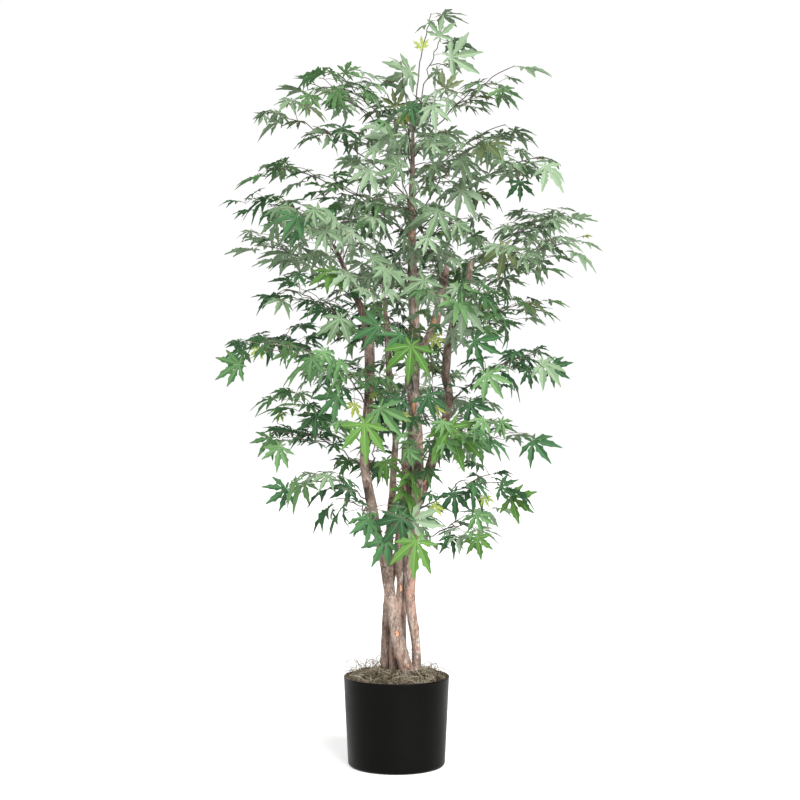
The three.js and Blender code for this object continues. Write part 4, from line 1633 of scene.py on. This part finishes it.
# %% Closing the leaf
def leaf_shape(seed):
    """One leaf of length 1, its heart at the origin, X along the middle lobe, Z out of its upper face."""
    random = np.random.default_rng(seed)
    bm = bmesh.new()
    part = bm.faces.layers.int.new("part")
    droop = random.uniform(*VARIES["droop"])
    fold = random.uniform(*VARIES["fold"])
    for lobe, parting in zip(LOBES, zip(PARTINGS, PARTINGS[1:])):
        lay_lobe(toothed_grid(bm, part, lobe[3]), lobe, parting, droop, fold, random)
    bmesh.ops.remove_doubles(bm, verts=bm.verts, dist=1e-5)
    heart = [v for v in bm.verts if abs(v.co.length - HEART) < 1e-5]
    heart.sort(key=lambda v: math.atan2(v.co.y, v.co.x))
    bm.faces.new(heart)
    bmesh.ops.recalc_face_normals(bm, faces=bm.faces)
    if sum(face.normal.z * face.calc_area() for face in bm.faces) < 0:
        bmesh.ops.reverse_faces(bm, faces=bm.faces)
    bm.verts.index_update()
    bm.faces.index_update()
    verts = np.array([v.co for v in bm.verts])
    faces = [[v.index for v in face.verts] for face in bm.faces]
    parts = np.array([face[part] for face in bm.faces])
    bm.free()
    return {"verts": verts, "faces": faces, "parts": parts}


shapes = [leaf_shape(SHAPE_SEED + k) for k in range(LEAF_SHAPES)]
vein_faces = int((shapes[0]["parts"] == VEIN_PART).sum())
print("leaf shapes:", len(shapes), "faces in a leaf:", len(shapes[0]["faces"]), "of them vein:", vein_faces)

# %% [markdown]
# ## Leaf colours
# The cloth is printed in plain greens. Sprays high up the tree are dealt a pale dusty green and lower ones
# a deeper one, with a few bright, olive and dark sprays between, and the young leaves are nearly yellow.
# Each spray is dealt a family by its height, and each of its leaves one tone of that family, so no two
# neighbours match quite. One half of each lobe takes the next darker tone, as painted shade of its fold.

# %% Leaf colours
LEAF_TONES = {
    "dusty": [(0.205, 0.286, 0.184), (0.175, 0.254, 0.154), (0.142, 0.216, 0.123), (0.102, 0.164, 0.088)],
    "green": [(0.116, 0.222, 0.088), (0.095, 0.192, 0.073), (0.070, 0.156, 0.056), (0.050, 0.118, 0.042)],
    "deep": [(0.052, 0.136, 0.050), (0.040, 0.110, 0.041), (0.031, 0.090, 0.033), (0.022, 0.068, 0.025)],
    "olive": [(0.160, 0.205, 0.115), (0.140, 0.185, 0.088), (0.112, 0.152, 0.062), (0.088, 0.126, 0.050)],
    "lime": [(0.100, 0.205, 0.048), (0.084, 0.182, 0.038), (0.070, 0.160, 0.030), (0.055, 0.135, 0.024)],
    "young": [(0.280, 0.320, 0.085), (0.255, 0.305, 0.062), (0.220, 0.280, 0.060), (0.180, 0.240, 0.050)],
}
VEIN_TONES = {
    "dusty": (0.260, 0.325, 0.190),
    "green": (0.140, 0.235, 0.090),
    "deep": (0.080, 0.155, 0.066),
    "olive": (0.227, 0.210, 0.109),
    "lime": (0.150, 0.255, 0.075),
    "young": (0.360, 0.375, 0.150),
}
# The share of each family by height, low to high.
TONES_BY_HEIGHT = [
    (500, {"dusty": 0.22, "green": 0.44, "deep": 0.20, "olive": 0.08, "lime": 0.06}),
    (800, {"dusty": 0.20, "green": 0.40, "deep": 0.32, "olive": 0.06, "lime": 0.02}),
    (1050, {"dusty": 0.44, "green": 0.26, "deep": 0.24, "olive": 0.06, "lime": 0.0}),
    (1250, {"dusty": 0.66, "green": 0.14, "deep": 0.14, "olive": 0.06, "lime": 0.0}),
    (1800, {"dusty": 0.80, "green": 0.06, "deep": 0.08, "olive": 0.06, "lime": 0.0}),
]
# The lowest front spray is dark beside the fork in the photograph, so its family is given here.
DEALT_BY_HAND = {"spray_front_1": "deep"}
# How often a leaf takes a family of its own instead of its spray's.
STRAY = 0.25
CLOTH_ROUGHNESS = 0.7
TONES = 4

cloth = []
slot_of = {}
for family, tones in LEAF_TONES.items():
    slot_of[family] = len(cloth)
    for k, tone in enumerate(tones):
        cloth.append(surface(f"cloth_{family}_{k + 1}", tone, CLOTH_ROUGHNESS, Specular_IOR_Level=0.2))
    cloth.append(surface(f"vein_{family}", VEIN_TONES[family], CLOTH_ROUGHNESS, Specular_IOR_Level=0.2))


def family_at(z, draw):
    """A family of colours by one draw, with the shares of a height."""
    heights = [height for height, shares in TONES_BY_HEIGHT]
    left = draw()
    for family in TONES_BY_HEIGHT[0][1]:
        left -= float(np.interp(z, heights, [shares[family] for height, shares in TONES_BY_HEIGHT]))
        if left < 0:
            return family
    return "green"


print("cloth colours:", len(cloth))

# %% [markdown]
# ## Joining the leaves
# The export drops instances, so each side of the crown becomes one mesh: every leaf takes one of the
# shapes, turned and scaled into its place, and its faces are added to the side's arrays.

# %% Leaves of each side of the crown
SIDES = ("top", "left", "right", "front", "back")
TONE_SEED = 1301


def sprays_of(side):
    """The sprays of one side of the crown, each with its number."""
    return [(index, own) for index, own in enumerate(sprays) if own["name"].startswith("spray_" + side)]


def dress_leaves(side):
    """All the leaves of one side of the crown as one piece."""
    verts = []
    faces = []
    finishes = []
    count = 0
    leaves = 0
    for index, own in sprays_of(side):
        draw = seeded(TONE_SEED + SEED_STEP * index)
        family = DEALT_BY_HAND.get(own["name"], family_at(own["tips"], draw))
        for leaf in own["leaves"] + own["fine_leaves"]:
            shape = shapes[int(draw() * LEAF_SHAPES)]
            stray = draw() < STRAY
            own_family = leaf.family or (family_at(leaf.heart[2], draw) if stray else family)
            tone = int(draw() * TONES)
            # The tones run from light to dark, and one half of each lobe takes the next darker one, as
            # painted shade on that side of the fold.
            painted_shade_tone = min(TONES - 1, tone + 1)
            tones = np.array([tone, tone, TONES, painted_shade_tone]) + slot_of[own_family]
            directions = np.array([leaf.ahead, leaf.across, leaf.face])
            verts.append(leaf.heart + (shape["verts"] * leaf.length) @ directions)
            faces += [tuple(count + corner for corner in face) for face in shape["faces"]]
            finishes.append(tones[shape["parts"]])
            count += len(shape["verts"])
            leaves += 1
    print(side, leaves, "leaves")
    return joined("leaves_" + side, np.concatenate(verts), faces, np.concatenate(finishes), cloth)


for side in SIDES:
    leaves = dress_leaves(side)
    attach(leaves, "root")
    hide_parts(*[own["name"] for index, own in sprays_of(side)])

# %% [markdown]
# ## Twigs and stalks
# The twigs are wire wrapped in brown tape: they bend in short straight lengths rather than in one clean
# curve, so each path wanders a little. Finer wires and the leaf stalks are paler. A stalk leaves its twig
# upwards and bows over to the heart of its leaf.

# %% Twigs of each side of the crown
# Of main, side and fine twigs in turn.
WIRE = {"sides": (6, 5, 4), "steps": (14, 8, 5), "slim": (0.62, 0.7, 1.0)}
WANDER = 2.4
STALK = {"foot": 0.7, "heart": 0.55, "bow": 0.1, "tan": 0.55, "rows": 5, "sides": 3}
WIRE_SEED = 1901
TAPE, FINE_WIRE, TAN, GREEN = range(4)
WIRE_TONES = {
    "wire_tape": (0.070, 0.058, 0.048),
    "wire_fine": (0.130, 0.112, 0.088),
    "stalk_tan": (0.27, 0.215, 0.135),
    "stalk_green": (0.18, 0.235, 0.10),
}


def wandering(twig, steps, random):
    """The twig's path with small bends that start and end at nothing."""
    t = np.arange(steps + 1) / steps
    bends = random.normal(size=(steps + 1, 3)) * WANDER * min(1, twig.length / 200)
    return twig.point(t) + bends * np.minimum(1, 5 * t * (1 - t))[:, None]


def on_path(path, t):
    """The place at a share of a path's length."""
    at = t * (len(path) - 1)
    return np.array([np.interp(at, np.arange(len(path)), path[:, axis]) for axis in range(3)]).T


def dress_twigs(side):
    """All the twigs and leaf stalks of one side of the crown as one piece."""
    tubes = Tubes()
    for index, own in sprays_of(side):
        random = np.random.default_rng(WIRE_SEED + index)
        paths = {}
        for k, twig in enumerate(own["twigs"] + own["fine_twigs"]):
            kind = 0 if k == 0 else 1 if k < len(own["twigs"]) else 2
            steps = WIRE["steps"][kind]
            path = wandering(twig, steps, random)
            if kind:
                path[0] = on_path(paths[twig.host], twig.at)
            paths[twig] = path
            radii = twig.radius(np.arange(steps + 1) / steps) * WIRE["slim"][kind]
            tubes.add(path, radii, WIRE["sides"][kind], FINE_WIRE if kind == 2 else TAPE)
        for leaf in own["leaves"] + own["fine_leaves"]:
            foot = on_path(paths[leaf.twig], leaf.at)
            reach = leaf.heart - foot
            length = np.linalg.norm(reach)
            t = np.linspace(0, 1, STALK["rows"])[:, None]
            path = foot + reach * t + UP * 4 * STALK["bow"] * length * t * (1 - t)
            finish = TAN if random.uniform() < STALK["tan"] else GREEN
            radii = np.linspace(STALK["foot"], STALK["heart"], STALK["rows"])
            tubes.add(path, radii, STALK["sides"], finish)
    return tubes.place("twigs_" + side, wire_finishes)


wire_finishes = [surface(name, tone, 0.7, Specular_IOR_Level=0.3) for name, tone in WIRE_TONES.items()]
for side in SIDES:
    twigs = dress_twigs(side)
    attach(twigs, "root")
    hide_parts(*[own["name"] for index, own in sprays_of(side)])

# %% [markdown]
# ## Size and finish
# The visual model's box has to stay the CAD model's, apart from what leaves and moss may stand proud.

# %% Size and finish
looks_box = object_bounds()
for axis in range(3):
    cad_size = cad_box[1][axis] - cad_box[0][axis]
    looks_size = looks_box[1][axis] - looks_box[0][axis]
    print("XYZ"[axis], "CAD", round(cad_size, 3), "looks", round(looks_size, 3))
